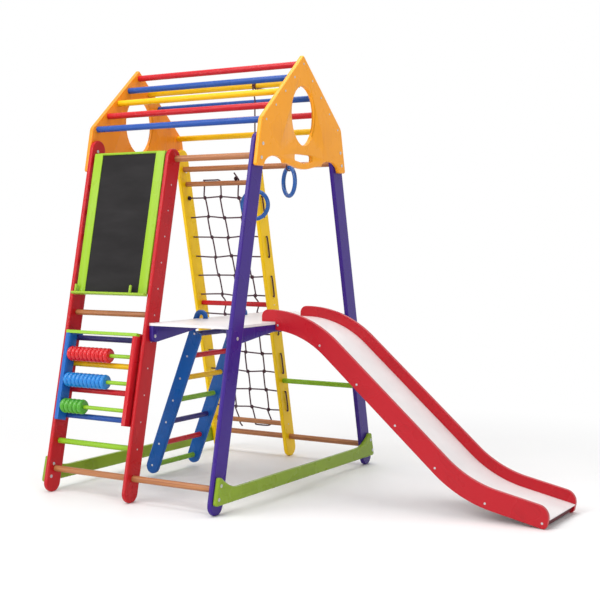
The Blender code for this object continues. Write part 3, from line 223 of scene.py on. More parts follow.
for side, (ring_x, ring_top, ring_turn) in RING_TOPS.items():
    across = Vector((-math.sin(math.radians(ring_turn)), math.cos(math.radians(ring_turn)), 0))
    hold = Vector((ring_x, RING_BAR.y, ring_top))
    knot = hold + Vector((0, 0, KNOT_ABOVE_RING))
    apart = ROPE_RADIUS + 0.0005
    route = [knot - across * apart + Vector((0, 0, 0.010)), knot - across * apart]
    for degrees in range(165, 376, 21):
        angle = math.radians(degrees)
        route.append(hold + LOOP_RADIUS * (across * math.cos(angle) + Vector((0, 0, math.sin(angle)))))
    route += [knot + across * apart, knot + across * apart + Vector((0, 0, 0.014))]
    low = knot.z + 0.030
    high = RING_BAR.z - BAR_APPROACH
    rises = round((high - low) / 0.015)
    route += [Vector((ring_x, RING_BAR.y, low + (high - low) * step / rises)) for step in range(rises + 1)]
    turn_radius = ROOF_BAR_RADIUS + ROPE_RADIUS + 0.001
    first_angle = 270 - math.degrees(math.acos(turn_radius / BAR_APPROACH))
    for step in range(23):
        angle = math.radians(first_angle - 360 / STEPS_PER_TURN * step)
        route.append(Vector((ring_x + TURN_ADVANCE * step / STEPS_PER_TURN,
                             RING_BAR.y + turn_radius * math.cos(angle),
                             RING_BAR.z + turn_radius * math.sin(angle))))
    tail = route[-1]
    route += [tail + Vector((0.006, -0.006, 0)), tail + Vector((0.018, -0.008, -0.001)),
              tail + Vector((0.040, -0.007, -0.004))]
    rope_path = even_route(route, 0.003)[::-1]
    hanger = lay_rope("ring_rope_" + side + "_braided", rope_path, "52203A")
    turns = []
    for rise in (0.0, 0.0056, 0.0112):
        bpy.ops.mesh.primitive_torus_add(
            location=knot + Vector((0, 0, rise - 0.004)), rotation=(0.12, -0.1, math.radians(ring_turn)),
            major_segments=20, minor_segments=8, major_radius=0.0068, minor_radius=0.0029)
        turns.append(bpy.context.object)
    hitch = join(turns, "ring_knot_" + side)
    bpy.ops.object.shade_smooth()
    hitch.data.materials.append(hanger.data.materials[0])
    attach(hanger, "ring_" + side + "_swing")
    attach(hitch, "ring_" + side + "_swing")
    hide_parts("ring_rope_" + side)


# The two gables are 18 mm plywood panels, cut to a house shape with an oval window and a finger slot.
# They are sprayed orange with rounded edges, and the wide faces show a trace of the veneer under the paint.
# The left gable's orange is painted darker, as painted shade on its inner face.
SLOPE_RUN = 0.218                # by which the rails lean inwards for each metre of height
SLOPE_TILT = math.atan(SLOPE_RUN)


def object_place(nodes):
    return nodes.new("ShaderNodeTexCoord").outputs["Object"]


def noise(nodes, links, place, scale, detail=2.0, distortion=0.0):
    """Soft random spots over a place socket."""
    spots = nodes.new("ShaderNodeTexNoise")
    spots.inputs["Scale"].default_value = scale
    spots.inputs["Detail"].default_value = detail
    spots.inputs["Distortion"].default_value = distortion
    links.new(place, spots.inputs["Vector"])
    return spots.outputs["Fac"]


def between(nodes, links, amount, low, high, target):
    """Drives a socket from low to high as the amount goes from 0 to 1."""
    spread = nodes.new("ShaderNodeMapRange")
    spread.inputs["To Min"].default_value = low
    spread.inputs["To Max"].default_value = high
    links.new(amount, spread.inputs["Value"])
    links.new(spread.outputs["Result"], target)


def painted(name, shade, along, gloss=0.27):
    """Sprayed paint on wood: faint grain along one way, a slightly uneven coat, and fine orange peel."""
    material, nodes, links, shader = new_material(name)
    place = object_place(nodes)
    turn = Vector((0, 0, 1)).rotation_difference(Vector(along))
    mapping = nodes.new("ShaderNodeMapping")
    mapping.vector_type = "TEXTURE"
    mapping.inputs["Rotation"].default_value = turn.to_euler()
    mapping.inputs["Scale"].default_value = (0.006, 0.006, 0.25)
    links.new(place, mapping.inputs["Vector"])
    fibres = noise(nodes, links, mapping.outputs["Vector"], 1.0, 3.0)
    coat = noise(nodes, links, place, 9.0)
    both = calculated(nodes, links, "ADD", fibres, coat)
    two_tones(nodes, links, shader, both, 0.6, 1.35 / 1.4, (toned(shade, 0.9), toned(shade, 1.05)))
    between(nodes, links, coat, gloss - 0.06, gloss + 0.08, shader.inputs["Roughness"])
    peel = calculated(nodes, links, "MULTIPLY", noise(nodes, links, place, 450.0), 0.25)
    bumps(nodes, links, shader, calculated(nodes, links, "ADD", peel, fibres), 0.12, 0.0006)
    shader.inputs["Specular IOR Level"].default_value = 0.26
    return material


def to_mode(mode):
    bpy.ops.object.mode_set(mode=mode)


def even_shading(piece):
    """Smooth over the rounded edges, with the wide faces kept flat."""
    alone(piece)
    bpy.ops.object.shade_smooth_by_angle(angle=math.radians(45))
    bpy.ops.object.modifier_add(type="WEIGHTED_NORMAL")
    piece.modifiers[0].keep_sharp = True
    bpy.ops.object.modifier_apply(modifier=piece.modifiers[0].name)


def finished_copy(node, name, material, body="frame", shift=(0, 0, 0), replaced=None):
    """The frame's own shape of a board, with its corners merged and its rounded edges shaded smooth."""
    piece = bpy.data.objects.new(name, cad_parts[node].data.copy())
    bpy.context.scene.collection.objects.link(piece)
    piece.location = shift
    alone(piece)
    to_mode("EDIT")
    bpy.ops.mesh.select_all(action="SELECT")
    bpy.ops.mesh.remove_doubles(threshold=0.00002)
    to_mode("OBJECT")
    settle(piece, name)
    even_shading(piece)
    piece.data.materials.clear()
    piece.data.materials.append(material)
    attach(piece, body)
    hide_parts(replaced or node)
    return piece


# Painted shade: the left gable's orange is darker than the right one's to stand for the shade on its inner
# face.
for side, shade in (("left", "F0901E"), ("right", "FFA41E")):
    orange = painted("orange_paint_" + side, shade, (0, 0, 1))
    finished_copy("gable_" + side, "gable_" + side + "_panel", orange)


# Nine round bars join the gables, 25 mm dowels with eased ends: one at the apex and four down each slope.
# Each has its own paint, and a screw through the gable into each end holds it.
def finish(piece, material, smooth_below, body, node=None):
    """Shades a piece smooth where it turns by fewer degrees, and gives it material, body and CAD node."""
    bpy.ops.object.shade_smooth_by_angle(angle=math.radians(smooth_below))
    piece.data.materials.append(material)
    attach(piece, body)
    if node:
        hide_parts(node)


def turned_bar(ends, y, z, radius, material, node):
    """A dowel along X with eased end rims, which stands for its plainer CAD bar."""
    bpy.ops.mesh.primitive_cylinder_add(
        vertices=32, radius=radius, depth=ends[1] - ends[0],
        location=((ends[0] + ends[1]) / 2, y, z), rotation=(0, math.pi / 2, 0))
    bar = settle(bpy.context.object, node + "_turned")
    to_mode("EDIT")
    bpy.ops.mesh.select_all(action="DESELECT")
    bpy.ops.mesh.edges_select_sharp(sharpness=math.radians(60))
    bpy.ops.mesh.bevel(offset=0.0015, segments=2)
    to_mode("OBJECT")
    finish(bar, material, 40, "frame", node)


def bar_place(node):
    """The two ends along X of a bar of the frame, its middle line's Y and Z, and its radius."""
    low_corner, high_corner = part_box(node)
    y = (low_corner[1] + high_corner[1]) / 2
    z = (low_corner[2] + high_corner[2]) / 2
    return (low_corner[0], high_corner[0]), y, z, (high_corner[1] - low_corner[1]) / 2


along_x = (1, 0, 0)
red_bar = painted("red_bar_paint", "C61D27", along_x)
blue_bar = painted("blue_bar_paint", "244FA0", along_x)
yellow_bar = painted("yellow_bar_paint", "EFC010", along_x)
roof_paints = {"apex": red_bar,
               "front_1": blue_bar, "front_2": yellow_bar, "front_3": red_bar, "front_4": blue_bar,
               "rear_1": yellow_bar, "rear_2": blue_bar, "rear_3": red_bar, "rear_4": yellow_bar}
roof_places = []
for bar_name, paint in roof_paints.items():
    ends, y, z = bar_place("roof_bar_" + bar_name)[:3]
    roof_places.append((y, z))
    turned_bar(ends, y, z, ROOF_BAR_RADIUS, paint, "roof_bar_" + bar_name)


# Zinc-plated screws with a low domed head hold every dowel, seen as small silver dots.
# Larger bolts with a head of the same form hold the rails to the gables, and show inside the left rails too.
def driven_head(name, radius, depth):
    """A screw head that looks along +Z, with a domed rim and a driver recess, kept as a mesh to copy."""
    bpy.ops.mesh.primitive_cylinder_add(vertices=18, radius=radius, depth=depth, location=(0, 0, 0))
    head = bpy.context.object
    to_mode("EDIT")
    bpy.ops.mesh.select_all(action="DESELECT")
    bpy.ops.mesh.select_mode(type="FACE")
    to_mode("OBJECT")
    for face in head.data.polygons:
        face.select = face.normal.z > 0.9
    to_mode("EDIT")
    bpy.ops.mesh.inset(thickness=radius * 0.25, depth=depth * 0.2)
    bpy.ops.mesh.inset(thickness=radius * 0.28)
    bpy.ops.mesh.inset(thickness=radius * 0.04, depth=-depth * 0.6)
    to_mode("OBJECT")
    mesh = head.data
    mesh.name = name
    bpy.data.objects.remove(head)
    return mesh


def set_heads(name, mesh, places, facing, material, body="frame"):
    """Copies of a screw head at these places, all facing one way, as one piece."""
    turn = Vector(facing).to_track_quat("Z", "Y").to_matrix().to_4x4()
    heads = []
    for place in places:
        head = bpy.data.objects.new(name, mesh.copy())
        head.data.transform(Matrix.Translation(place) @ turn)
        bpy.context.scene.collection.objects.link(head)
        heads.append(head)
    group = join(heads, name)
    bpy.ops.object.shade_smooth_by_angle(angle=math.radians(30))
    group.data.materials.clear()
    group.data.materials.append(material)
    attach(group, body)


def zinc(name):
    """Bright zinc plating with a few dull spots."""
    material, nodes, links, shader = new_material(name)
    spots = noise(nodes, links, object_place(nodes), 700.0)
    two_tones(nodes, links, shader, spots, 0.0, 1.0, ((0.42, 0.42, 0.43, 1), (0.78, 0.78, 0.8, 1)))
    between(nodes, links, spots, 0.22, 0.4, shader.inputs["Roughness"])
    shader.inputs["Metallic"].default_value = 0.9
    return material


plated = zinc("zinc_plating")
screw = driven_head("screw_head", radius=0.0042, depth=0.0016)
small_screw = driven_head("small_screw_head", radius=0.0030, depth=0.0010)
bolt = driven_head("bolt_head", radius=0.0065, depth=0.0026)
GABLE_BOLTS = ((0.290, 1.338), (0.301, 1.286))
LEFT_RAIL = (-0.9313, -0.9133)          # its outer and its inner face
OUTSIDES = (("left", -0.9496, -1), ("right", -0.1136, 1))


def on_both_slopes(face_x, places):
    """Points on a face across X, for places on the rear slope and their mirror images in front."""
    return [(face_x, sign * y, z) for sign in (-1, 1) for y, z in places]


for side, face_x, out in OUTSIDES:
    set_heads("gable_screws_" + side, screw, [(face_x, y, z) for y, z in roof_places], (out, 0, 0), plated)
    set_heads("gable_bolts_" + side, bolt, on_both_slopes(face_x, GABLE_BOLTS), (out, 0, 0), plated)
set_heads("gable_bolt_nuts_left", bolt, on_both_slopes(LEFT_RAIL[1], GABLE_BOLTS), (1, 0, 0), plated)


# Six rails and legs stand on the floor, 76 by 18 mm pine boards with round ends and rounded edges.
# The left end and middle ones are red in front and yellow behind, and the right ones are purple.
front_grain = (0, math.sin(SLOPE_TILT), math.cos(SLOPE_TILT))
rear_grain = (0, -math.sin(SLOPE_TILT), math.cos(SLOPE_TILT))
red_rail = painted("red_rail_paint", "B9121C", front_grain)
yellow_rail = painted("yellow_rail_paint", "F8CC08", rear_grain)
purple_front = painted("purple_front_leg_paint", "391C80", front_grain)
purple_rear = painted("purple_rear_leg_paint", "391C80", rear_grain)
for node, paint in (("rail_front_left", red_rail), ("rail_front_middle", red_rail),
                    ("leg_front_right", purple_front), ("rail_rear_left", yellow_rail),
                    ("rail_rear_middle", yellow_rail), ("leg_rear_right", purple_rear)):
    finished_copy(node, node + "_board", paint)


# The rungs are 22 mm dowels between the left and middle rails, eleven in front and three behind.
# Four stronger bars run the full length through the middle rails; bars and hidden rungs are only stained.
def stained(name, light, dark):
    """Clear-stained pine dowel: soft streaks of early and late wood along the dowel."""
    material, nodes, links, shader = new_material(name)
    mapping = nodes.new("ShaderNodeMapping")
    mapping.inputs["Scale"].default_value = (2.5, 160.0, 160.0)
    links.new(object_place(nodes), mapping.inputs["Vector"])
    streaks = noise(nodes, links, mapping.outputs["Vector"], 1.0, 5.0, 0.4)
    two_tones(nodes, links, shader, streaks, 0.32, 0.68, (colour(dark), colour(light)))
    bumps(nodes, links, shader, streaks, 0.2, 0.0005)
    shader.inputs["Roughness"].default_value = 0.42
    return material


brown = stained("brown_dowel_stain", "C48450", "9A5C36")
navy_bar = painted("navy_bar_paint", "32306E", along_x)
lime_bar = painted("lime_bar_paint", "8FBE2A", along_x)
rung_paints = {"front_top_bar": brown, "front_bottom_bar": brown,
               "rear_top_bar": brown, "rear_bottom_bar": brown,
               "front_rung_02": brown, "front_rung_03": brown, "front_rung_04": brown,
               "front_rung_05": brown, "front_rung_06": brown, "front_rung_07": brown,
               "front_rung_08": navy_bar, "front_rung_09": yellow_bar, "front_rung_10": red_bar,
               "front_rung_11": blue_bar, "front_rung_12": lime_bar,
               "net_top_rung": brown, "net_bottom_rung": brown,
               "rear_red_rung": red_bar, "rear_green_bar": lime_bar}
rung_places = {}
for node, paint in rung_paints.items():
    ends, y, z, radius = bar_place(node)
    rung_places[node] = (y, z)
    turned_bar(ends, y, z, radius, paint, node)

MIDDLE_RAIL = (-0.5406, -0.5226)        # its left and its right face
RIGHT_LEG_OUTSIDE = -0.1319
short_rungs = [place for node, place in rung_places.items() if "rung" in node]
green_bar = rung_places["rear_green_bar"]
for name, head, face_x, places, out in (
        ("middle_rail_screws", small_screw, MIDDLE_RAIL[1], short_rungs, 1),
        ("left_rail_screws", screw, LEFT_RAIL[0], short_rungs, -1),
        ("right_leg_screws", screw, RIGHT_LEG_OUTSIDE, [green_bar], 1),
        ("green_bar_screws", screw, MIDDLE_RAIL[0], [green_bar], -1)):
    set_heads(name, head, [(face_x, y, z) for y, z in places], (out, 0, 0), plated)


# Two green base boards tie the legs together near the floor, 18 mm thick and waisted between flared ends.
# Two bolts at each end go through the leg behind.
BASE_BOLTS = ((0.5640, 0.109), (0.5790, 0.062))
base_green = painted("base_board_paint", "84A024", (0, 1, 0))
for side, face_x, out in OUTSIDES:
    finished_copy("base_board_" + side, "base_board_" + side + "_waisted", base_green)
    set_heads("base_bolts_" + side, bolt, on_both_slopes(face_x, BASE_BOLTS), (out, 0, 0), plated)
set_heads("base_bolt_nuts_left", bolt, on_both_slopes(LEFT_RAIL[1], BASE_BOLTS), (1, 0, 0), plated)


# The deck is a 10 mm laminated white sheet on two purple boards that taper from their ends to a slim middle.
# The boards are bolted to the rails and legs, and the sheet has a slot for each claw of the ladder.
def laminate(name, shade):
    """Smooth white laminate with a faint mottle and soft scuffs."""
    material, nodes, links, shader = new_material(name)
    mottle = noise(nodes, links, object_place(nodes), 14.0, 4.0)
    two_tones(nodes, links, shader, mottle, 0.3, 0.7, (toned(shade, 0.94), colour(shade)))
    between(nodes, links, mottle, 0.28, 0.42, shader.inputs["Roughness"])
    bumps(nodes, links, shader, mottle, 0.05, 0.0004)
    return material


def pick_edges(piece, chosen):
    """Goes to edit mode with the edges selected that have both ends where the test says."""
    alone(piece)
    to_mode("EDIT")
    bpy.ops.mesh.select_mode(type="EDGE")
    bpy.ops.mesh.select_all(action="DESELECT")
    to_mode("OBJECT")
    for edge in piece.data.edges:
        edge.select = all(chosen(piece.data.vertices[index].co) for index in edge.vertices)
    to_mode("EDIT")


def rounded(piece, width, segments, angle):
    """Rounds the edges that turn by more than the angle, in degrees."""
    alone(piece)
    bpy.ops.object.modifier_add(type="BEVEL")
    bevel = piece.modifiers[0]
    bevel.width = width
    bevel.segments = segments
    bevel.limit_method = "ANGLE"
    bevel.angle_limit = math.radians(angle)
    bpy.ops.object.modifier_apply(modifier=bevel.name)


white = laminate("white_laminate", "EFECEC")
purple_deck = painted("purple_deck_paint", "36227C", (0, 1, 0))
finished_copy("deck_sheet", "deck_sheet_laminated", white)
DECK_HALF_WIDTH = 0.455
BOARD_TOP = 0.6567
BOARD_THICK = 0.018
END_HEIGHT = 0.062
MIDDLE_HEIGHT = 0.028
TAPER = (0.165, 0.425)          # where the lower edge starts to run down, and where it is level again
END_ROUND = 0.012
for side, low_x in (("left", -0.5223), ("right", -0.1682)):
    middle = (low_x + BOARD_THICK / 2, 0, BOARD_TOP - END_HEIGHT / 2)
    bpy.ops.mesh.primitive_cube_add(size=1, location=middle)
    bpy.context.object.scale = (BOARD_THICK, 2 * DECK_HALF_WIDTH, END_HEIGHT)
    board = settle(bpy.context.object, "deck_board_" + side + "_tapered")
    to_mode("EDIT")
    for cut_y in (-TAPER[1], -TAPER[0], TAPER[0], TAPER[1]):
        bpy.ops.mesh.select_all(action="SELECT")
        bpy.ops.mesh.bisect(plane_co=(0, cut_y, 0), plane_no=(0, 1, 0))
    to_mode("OBJECT")
    low = BOARD_TOP - MIDDLE_HEIGHT
    pick_edges(board, lambda place: abs(place.y) < TAPER[0] + 0.001 and place.z < low)
    bpy.ops.transform.translate(value=(0, 0, END_HEIGHT - MIDDLE_HEIGHT))
    to_mode("OBJECT")
    pick_edges(board, lambda place: abs(place.y) > DECK_HALF_WIDTH - 0.001 and place.z < low)
    bpy.ops.mesh.bevel(offset=END_ROUND, segments=5, affect="EDGES")
    to_mode("OBJECT")
    rounded(board, 0.0025, 3, 40)
    finish(board, purple_deck, 32, "frame", "deck_board_" + side)
LEFT_BOARD_INSIDE = -0.5043
for side, face_x, place in (("left", LEFT_BOARD_INSIDE, (0.443, 0.617)),
                            ("right", RIGHT_LEG_OUTSIDE, (0.434, 0.623))):
    set_heads("deck_bolts_" + side, bolt, on_both_slopes(face_x, [place]), (1, 0, 0), plated)


# The slide has two red side boards, cut from 18 mm plywood in one long S, with rounded edges.
# A thin white sheet bends down between them over seven cross battens, which are screwed through the boards.
SLIDE_START = -0.2116
SLIDE_HEAD_Z = 0.6748
SHEET_RISE = -0.0025        # top of the sheet against the middle line of the boards
SHEET_THICK = 0.004
SHEET_HALF_WIDTH = 0.1335
LEVEL_LENGTH = 0.038
CREST_RADIUS = 0.400
RUNOUT_RADIUS = 0.450
STEEP = math.radians(41.2)
SHALLOW = math.radians(11.7)
RUNOUT_LENGTH = 0.201
SLIDE_TIP_Z = 0.03547

crest_drop = CREST_RADIUS * (1 - math.cos(STEEP))
runout_drop = RUNOUT_RADIUS * (math.cos(SHALLOW) - math.cos(STEEP))
end_drop = RUNOUT_LENGTH * math.sin(SHALLOW)
straight = (SLIDE_HEAD_Z - SLIDE_TIP_Z - crest_drop - runout_drop - end_drop) / math.sin(STEEP)
crest_centre = Vector((SLIDE_START + LEVEL_LENGTH, 0, SLIDE_HEAD_Z - CREST_RADIUS))
steep_start = crest_centre + CREST_RADIUS * Vector((math.sin(STEEP), 0, math.cos(STEEP)))
steep_end = steep_start + straight * Vector((math.cos(STEEP), 0, -math.sin(STEEP)))
runout_centre = steep_end + RUNOUT_RADIUS * Vector((math.sin(STEEP), 0, math.cos(STEEP)))
runout = RUNOUT_LENGTH * Vector((math.cos(SHALLOW), 0, -math.sin(SHALLOW)))

red_slide = painted("slide_board_paint", "B71A26", (math.cos(STEEP), 0, -math.sin(STEEP)))
HALF_BOARD = 0.0385             # half of the boards' width
BOARD_MIDDLE_Y = 0.143
SLIDE_OUTSIDE_Y = 0.152
EDGE_ROUND = 0.004
CUTTER_SIZE = 0.2
HEAD_ROUND = 0.027
TIP_ROUND = 0.044
HEEL_ROUND = 0.015
NOTCH = (-0.1499, 0.6673)       # clear of the deck's right face and of its top
shallow_up = Vector((math.sin(SHALLOW), 0, math.cos(SHALLOW)))
tip = runout_centre - RUNOUT_RADIUS * shallow_up + runout
corners = ((Vector((SLIDE_START, 0, SLIDE_HEAD_Z + HALF_BOARD)), HEAD_ROUND),
           (tip + HALF_BOARD * shallow_up, TIP_ROUND), (tip - HALF_BOARD * shallow_up, HEEL_ROUND))
for side, middle_y in (("front", -BOARD_MIDDLE_Y), ("rear", BOARD_MIDDLE_Y)):
    bpy.ops.mesh.primitive_plane_add(size=1, location=(SLIDE_START, middle_y, SLIDE_HEAD_Z),
                                     rotation=(0, math.pi / 2, 0))
    bpy.context.object.scale = (2 * HALF_BOARD, BOARD_THICK, 1)
    board = settle(bpy.context.object, "slide_board_" + side)
    to_mode("EDIT")
    bpy.ops.mesh.select_all(action="SELECT")
    bpy.ops.mesh.extrude_region_move(TRANSFORM_OT_translate={"value": (LEVEL_LENGTH, 0, 0)})
    bpy.ops.mesh.spin(steps=26, angle=STEEP, center=crest_centre, axis=(0, -1, 0))
    bpy.ops.mesh.extrude_region_move(TRANSFORM_OT_translate={"value": steep_end - steep_start})
    bpy.ops.mesh.spin(steps=20, angle=STEEP - SHALLOW, center=runout_centre, axis=(0, 1, 0))
    bpy.ops.mesh.extrude_region_move(TRANSFORM_OT_translate={"value": runout})
    bpy.ops.mesh.select_all(action="SELECT")
    bpy.ops.mesh.normals_make_consistent(inside=False)
    to_mode("OBJECT")
    for corner, round_radius in corners:
        pick_edges(board, lambda place: math.hypot(place.x - corner.x, place.z - corner.z) < 0.0005)
        bpy.ops.mesh.bevel(offset=round_radius, segments=9, affect="EDGES")
        to_mode("OBJECT")
    cutter_middle = (NOTCH[0] - CUTTER_SIZE / 2, middle_y, NOTCH[1] - CUTTER_SIZE / 2)
    bpy.ops.mesh.primitive_cube_add(size=CUTTER_SIZE, location=cutter_middle)
    notch_cutter = bpy.context.object
    alone(board)
    bpy.ops.object.modifier_add(type="BOOLEAN")
    board.modifiers[0].object = notch_cutter
    board.modifiers[0].operation = "DIFFERENCE"
    bpy.ops.object.modifier_apply(modifier=board.modifiers[0].name)
    bpy.data.objects.remove(notch_cutter)
    rounded(board, EDGE_ROUND, 3, 40)
    even_shading(board)
    board.data.materials.append(red_slide)
    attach(board, "slide")
    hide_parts("slide_side_" + side)

level_middle = Vector((SLIDE_START + LEVEL_LENGTH / 2, 0, SLIDE_HEAD_Z + SHEET_RISE))
bpy.ops.mesh.primitive_plane_add(size=1, location=level_middle)
bpy.context.object.scale = (LEVEL_LENGTH, 2 * SHEET_HALF_WIDTH, 1)
sliding_sheet = settle(bpy.context.object, "slide_sheet_bent")
pick_edges(sliding_sheet, lambda place: place.x > level_middle.x)
bpy.ops.mesh.spin(steps=20, angle=STEEP, center=crest_centre, axis=(0, -1, 0))
bpy.ops.mesh.extrude_region_move(TRANSFORM_OT_translate={"value": steep_end - steep_start})
bpy.ops.mesh.spin(steps=16, angle=STEEP - SHALLOW, center=runout_centre, axis=(0, 1, 0))
bpy.ops.mesh.extrude_region_move(TRANSFORM_OT_translate={"value": runout})
bpy.ops.mesh.select_all(action="SELECT")
bpy.ops.mesh.normals_make_consistent(inside=False)
to_mode("OBJECT")
if sliding_sheet.data.polygons[0].normal.z < 0:
    sliding_sheet.data.flip_normals()
bpy.ops.object.modifier_add(type="SOLIDIFY")
sliding_sheet.modifiers[0].thickness = SHEET_THICK
sliding_sheet.modifiers[0].offset = -1
bpy.ops.object.modifier_apply(modifier=sliding_sheet.modifiers[0].name)
finish(sliding_sheet, white, 30, "slide", "slide_sheet")

BATTEN_WIDTH = 0.018
BATTEN_HEIGHT = 0.0255
BATTEN_RISE = SHEET_RISE - SHEET_THICK - 0.013
FIRST_BATTEN = 0.0748           # along the slide's middle line from its head
maroon = painted("batten_paint", "5E1A24", (0, 1, 0), 0.4)
line_length = (LEVEL_LENGTH + CREST_RADIUS * STEEP + straight
               + RUNOUT_RADIUS * (STEEP - SHALLOW) + RUNOUT_LENGTH)


def on_slide_line(distance):
    """The point and the downward slope at a distance along the middle line of the slide's boards."""
    if distance < LEVEL_LENGTH:
        return Vector((SLIDE_START + distance, 0, SLIDE_HEAD_Z)), 0.0
    distance -= LEVEL_LENGTH
    if distance < CREST_RADIUS * STEEP:
        slope = distance / CREST_RADIUS
        return crest_centre + CREST_RADIUS * Vector((math.sin(slope), 0, math.cos(slope))), slope
    distance -= CREST_RADIUS * STEEP
    if distance < straight:
        return steep_start.lerp(steep_end, distance / straight), STEEP
    distance -= straight
    if distance < RUNOUT_RADIUS * (STEEP - SHALLOW):
        slope = STEEP - distance / RUNOUT_RADIUS
        return runout_centre - RUNOUT_RADIUS * Vector((math.sin(slope), 0, math.cos(slope))), slope
    distance -= RUNOUT_RADIUS * (STEEP - SHALLOW)
    start = runout_centre - RUNOUT_RADIUS * Vector((math.sin(SHALLOW), 0, math.cos(SHALLOW)))
    return start + distance * Vector((math.cos(SHALLOW), 0, -math.sin(SHALLOW))), SHALLOW


battens = []
batten_screws = []
for index in range(7):
    last_batten = line_length - BATTEN_WIDTH
    point, slope = on_slide_line(FIRST_BATTEN + (last_batten - FIRST_BATTEN) * index / 6)
    middle = point + Vector((math.sin(slope), 0, math.cos(slope))) * BATTEN_RISE
    bpy.ops.mesh.primitive_cube_add(size=1, location=middle, rotation=(0, slope, 0))
    batten = bpy.context.object
    batten.scale = (BATTEN_WIDTH, 2 * SHEET_HALF_WIDTH, BATTEN_HEIGHT)
    settle(batten, "slide_batten")
    rounded(batten, 0.002, 2, 30)
    battens.append(batten)
    batten_screws.append(middle)
finish(join(battens, "slide_battens_under"), maroon, 30, "slide")
for side, out in (("front", -1), ("rear", 1)):
    places = [(point.x, out * SLIDE_OUTSIDE_Y, point.z) for point in batten_screws]
    set_heads("slide_screws_" + side, screw, places, (0, out, 0), plated, "slide")


# The blue ladder hangs on the deck's left edge by a claw at the top of each 18 mm rail, clear of the floor.
# Seven painted dowels are screwed between its rails.
LADDER_FOOT_X = -0.7762
LADDER_TILT = math.atan(0.397)
RAIL_SPACING = 0.282
RAIL_OUTSIDE_Y = 0.150
ladder_up = Vector((math.sin(LADDER_TILT), 0, math.cos(LADDER_TILT)))
blue_ladder = painted("blue_ladder_paint", "1259A9", ladder_up)
finished_copy("ladder_rail_front", "ladder_rail_front_board", blue_ladder, "hooked_ladder")
finished_copy("ladder_rail_front", "ladder_rail_rear_board", blue_ladder, "hooked_ladder",
              (0, RAIL_SPACING, 0), "ladder_rail_rear")

RUNG_REACH = 0.132              # half of a rung's length
RUNG_RADIUS = 0.011
RUNG_STEP = 0.0993
TOP_RUNG_DISTANCE = 0.6501
along_y = (0, 1, 0)
ladder_paints = [painted("ladder_rung_" + name, shade, along_y) for name, shade in (
    ("navy", "30286A"), ("red", "BE2028"), ("yellow", "E0B012"), ("green", "76A42A"),
    ("lower_navy", "30286A"), ("lower_red", "BE2028"), ("lower_green", "76A42A"))]
rung_ends = []
for index, paint in enumerate(ladder_paints):
    place = Vector((LADDER_FOOT_X, 0, 0)) + ladder_up * (TOP_RUNG_DISTANCE - RUNG_STEP * index)
    rung_ends.append(place)
    bpy.ops.mesh.primitive_cylinder_add(vertices=28, radius=RUNG_RADIUS, depth=2 * RUNG_REACH,
                                        location=place, rotation=(math.pi / 2, 0, 0))
    rung = settle(bpy.context.object, "ladder_rung_" + str(index + 1))
    finish(rung, paint, 40, "hooked_ladder")
for side, out in (("front", -1), ("rear", 1)):
    places = [(place.x, out * RAIL_OUTSIDE_Y, place.z) for place in rung_ends]
    set_heads("ladder_screws_" + side, screw, places, (0, out, 0), plated, "hooked_ladder")


# The chalkboard is a dark painted panel between two lime stiles and a lime strip, hooked over the top bar.
# A lime ledge runs along its foot with two turned pegs, and the panel shows faint smears of wiped chalk.
def chalk_paint(name):
    """Matte blackboard paint with wide, faint smears of wiped chalk."""
    material, nodes, links, shader = new_material(name)
    place = object_place(nodes)
    mapping = nodes.new("ShaderNodeMapping")
    mapping.inputs["Rotation"].default_value = (0, 0.6, 0)
    mapping.inputs["Scale"].default_value = (4.0, 4.0, 14.0)
    links.new(place, mapping.inputs["Vector"])
    smears = noise(nodes, links, mapping.outputs["Vector"], 1.2, 6.0)
    two_tones(nodes, links, shader, smears, 0.35, 0.8, (colour("1D1B1C"), colour("2C2A2B")))
    bumps(nodes, links, shader, noise(nodes, links, place, 900.0), 0.15, 0.0003)
    shader.inputs["Roughness"].default_value = 0.75
    shader.inputs["Specular IOR Level"].default_value = 0.2
    return material


lime_frame = painted("lime_frame_paint", "93BA25", front_grain)
blackboard = chalk_paint("chalk_panel_paint")
finished_copy("chalkboard_panel", "chalkboard_panel_painted", blackboard, "chalkboard")
finished_copy("chalkboard_frame", "chalkboard_stiles", lime_frame, "chalkboard")
lime_ledge = painted("lime_ledge_paint", "98B834", along_x)
LEDGE_DROP = 0.010              # down the slope from where the frame's plainer ledge is
LEDGE_SHARE = 0.96              # of that ledge's length
LEDGE_MIDDLE_X = -0.7216
finished_copy("chalkboard_ledge", "chalkboard_ledge_board", lime_ledge, "chalkboard",
              -LEDGE_DROP * Vector(front_grain))
to_mode("EDIT")
bpy.ops.mesh.select_all(action="SELECT")
bpy.ops.transform.resize(value=(LEDGE_SHARE, 1, 1), center_override=(LEDGE_MIDDLE_X, 0, 0))
to_mode("OBJECT")

FOOT_Y = 0.5735                 # of each slope's middle line on the floor
PEG_RADIUS = 0.0055
PEG_LENGTH = 0.030
PEG_FOOT = (0.796 - LEDGE_DROP, 0.050)      # up the slope from the floor, and out of it
slope_up = Vector(front_grain)
slope_out = Vector((0, -math.cos(SLOPE_TILT), math.sin(SLOPE_TILT)))
pegs = []
for peg_x in (-0.8916, -0.6166):
    base = Vector((0, -FOOT_Y, 0)) + slope_up * PEG_FOOT[0] + slope_out * PEG_FOOT[1] + Vector((peg_x, 0, 0))
    bpy.ops.mesh.primitive_cylinder_add(
        vertices=20, radius=PEG_RADIUS, depth=PEG_LENGTH,
        location=base + slope_up * PEG_LENGTH / 2, rotation=(-SLOPE_TILT, 0, 0))
    peg = settle(bpy.context.object, "chalkboard_peg")
    rounded(peg, 0.002, 3, 60)
    pegs.append(peg)
finish(join(pegs, "chalkboard_pegs"), lime_ledge, 40, "chalkboard")


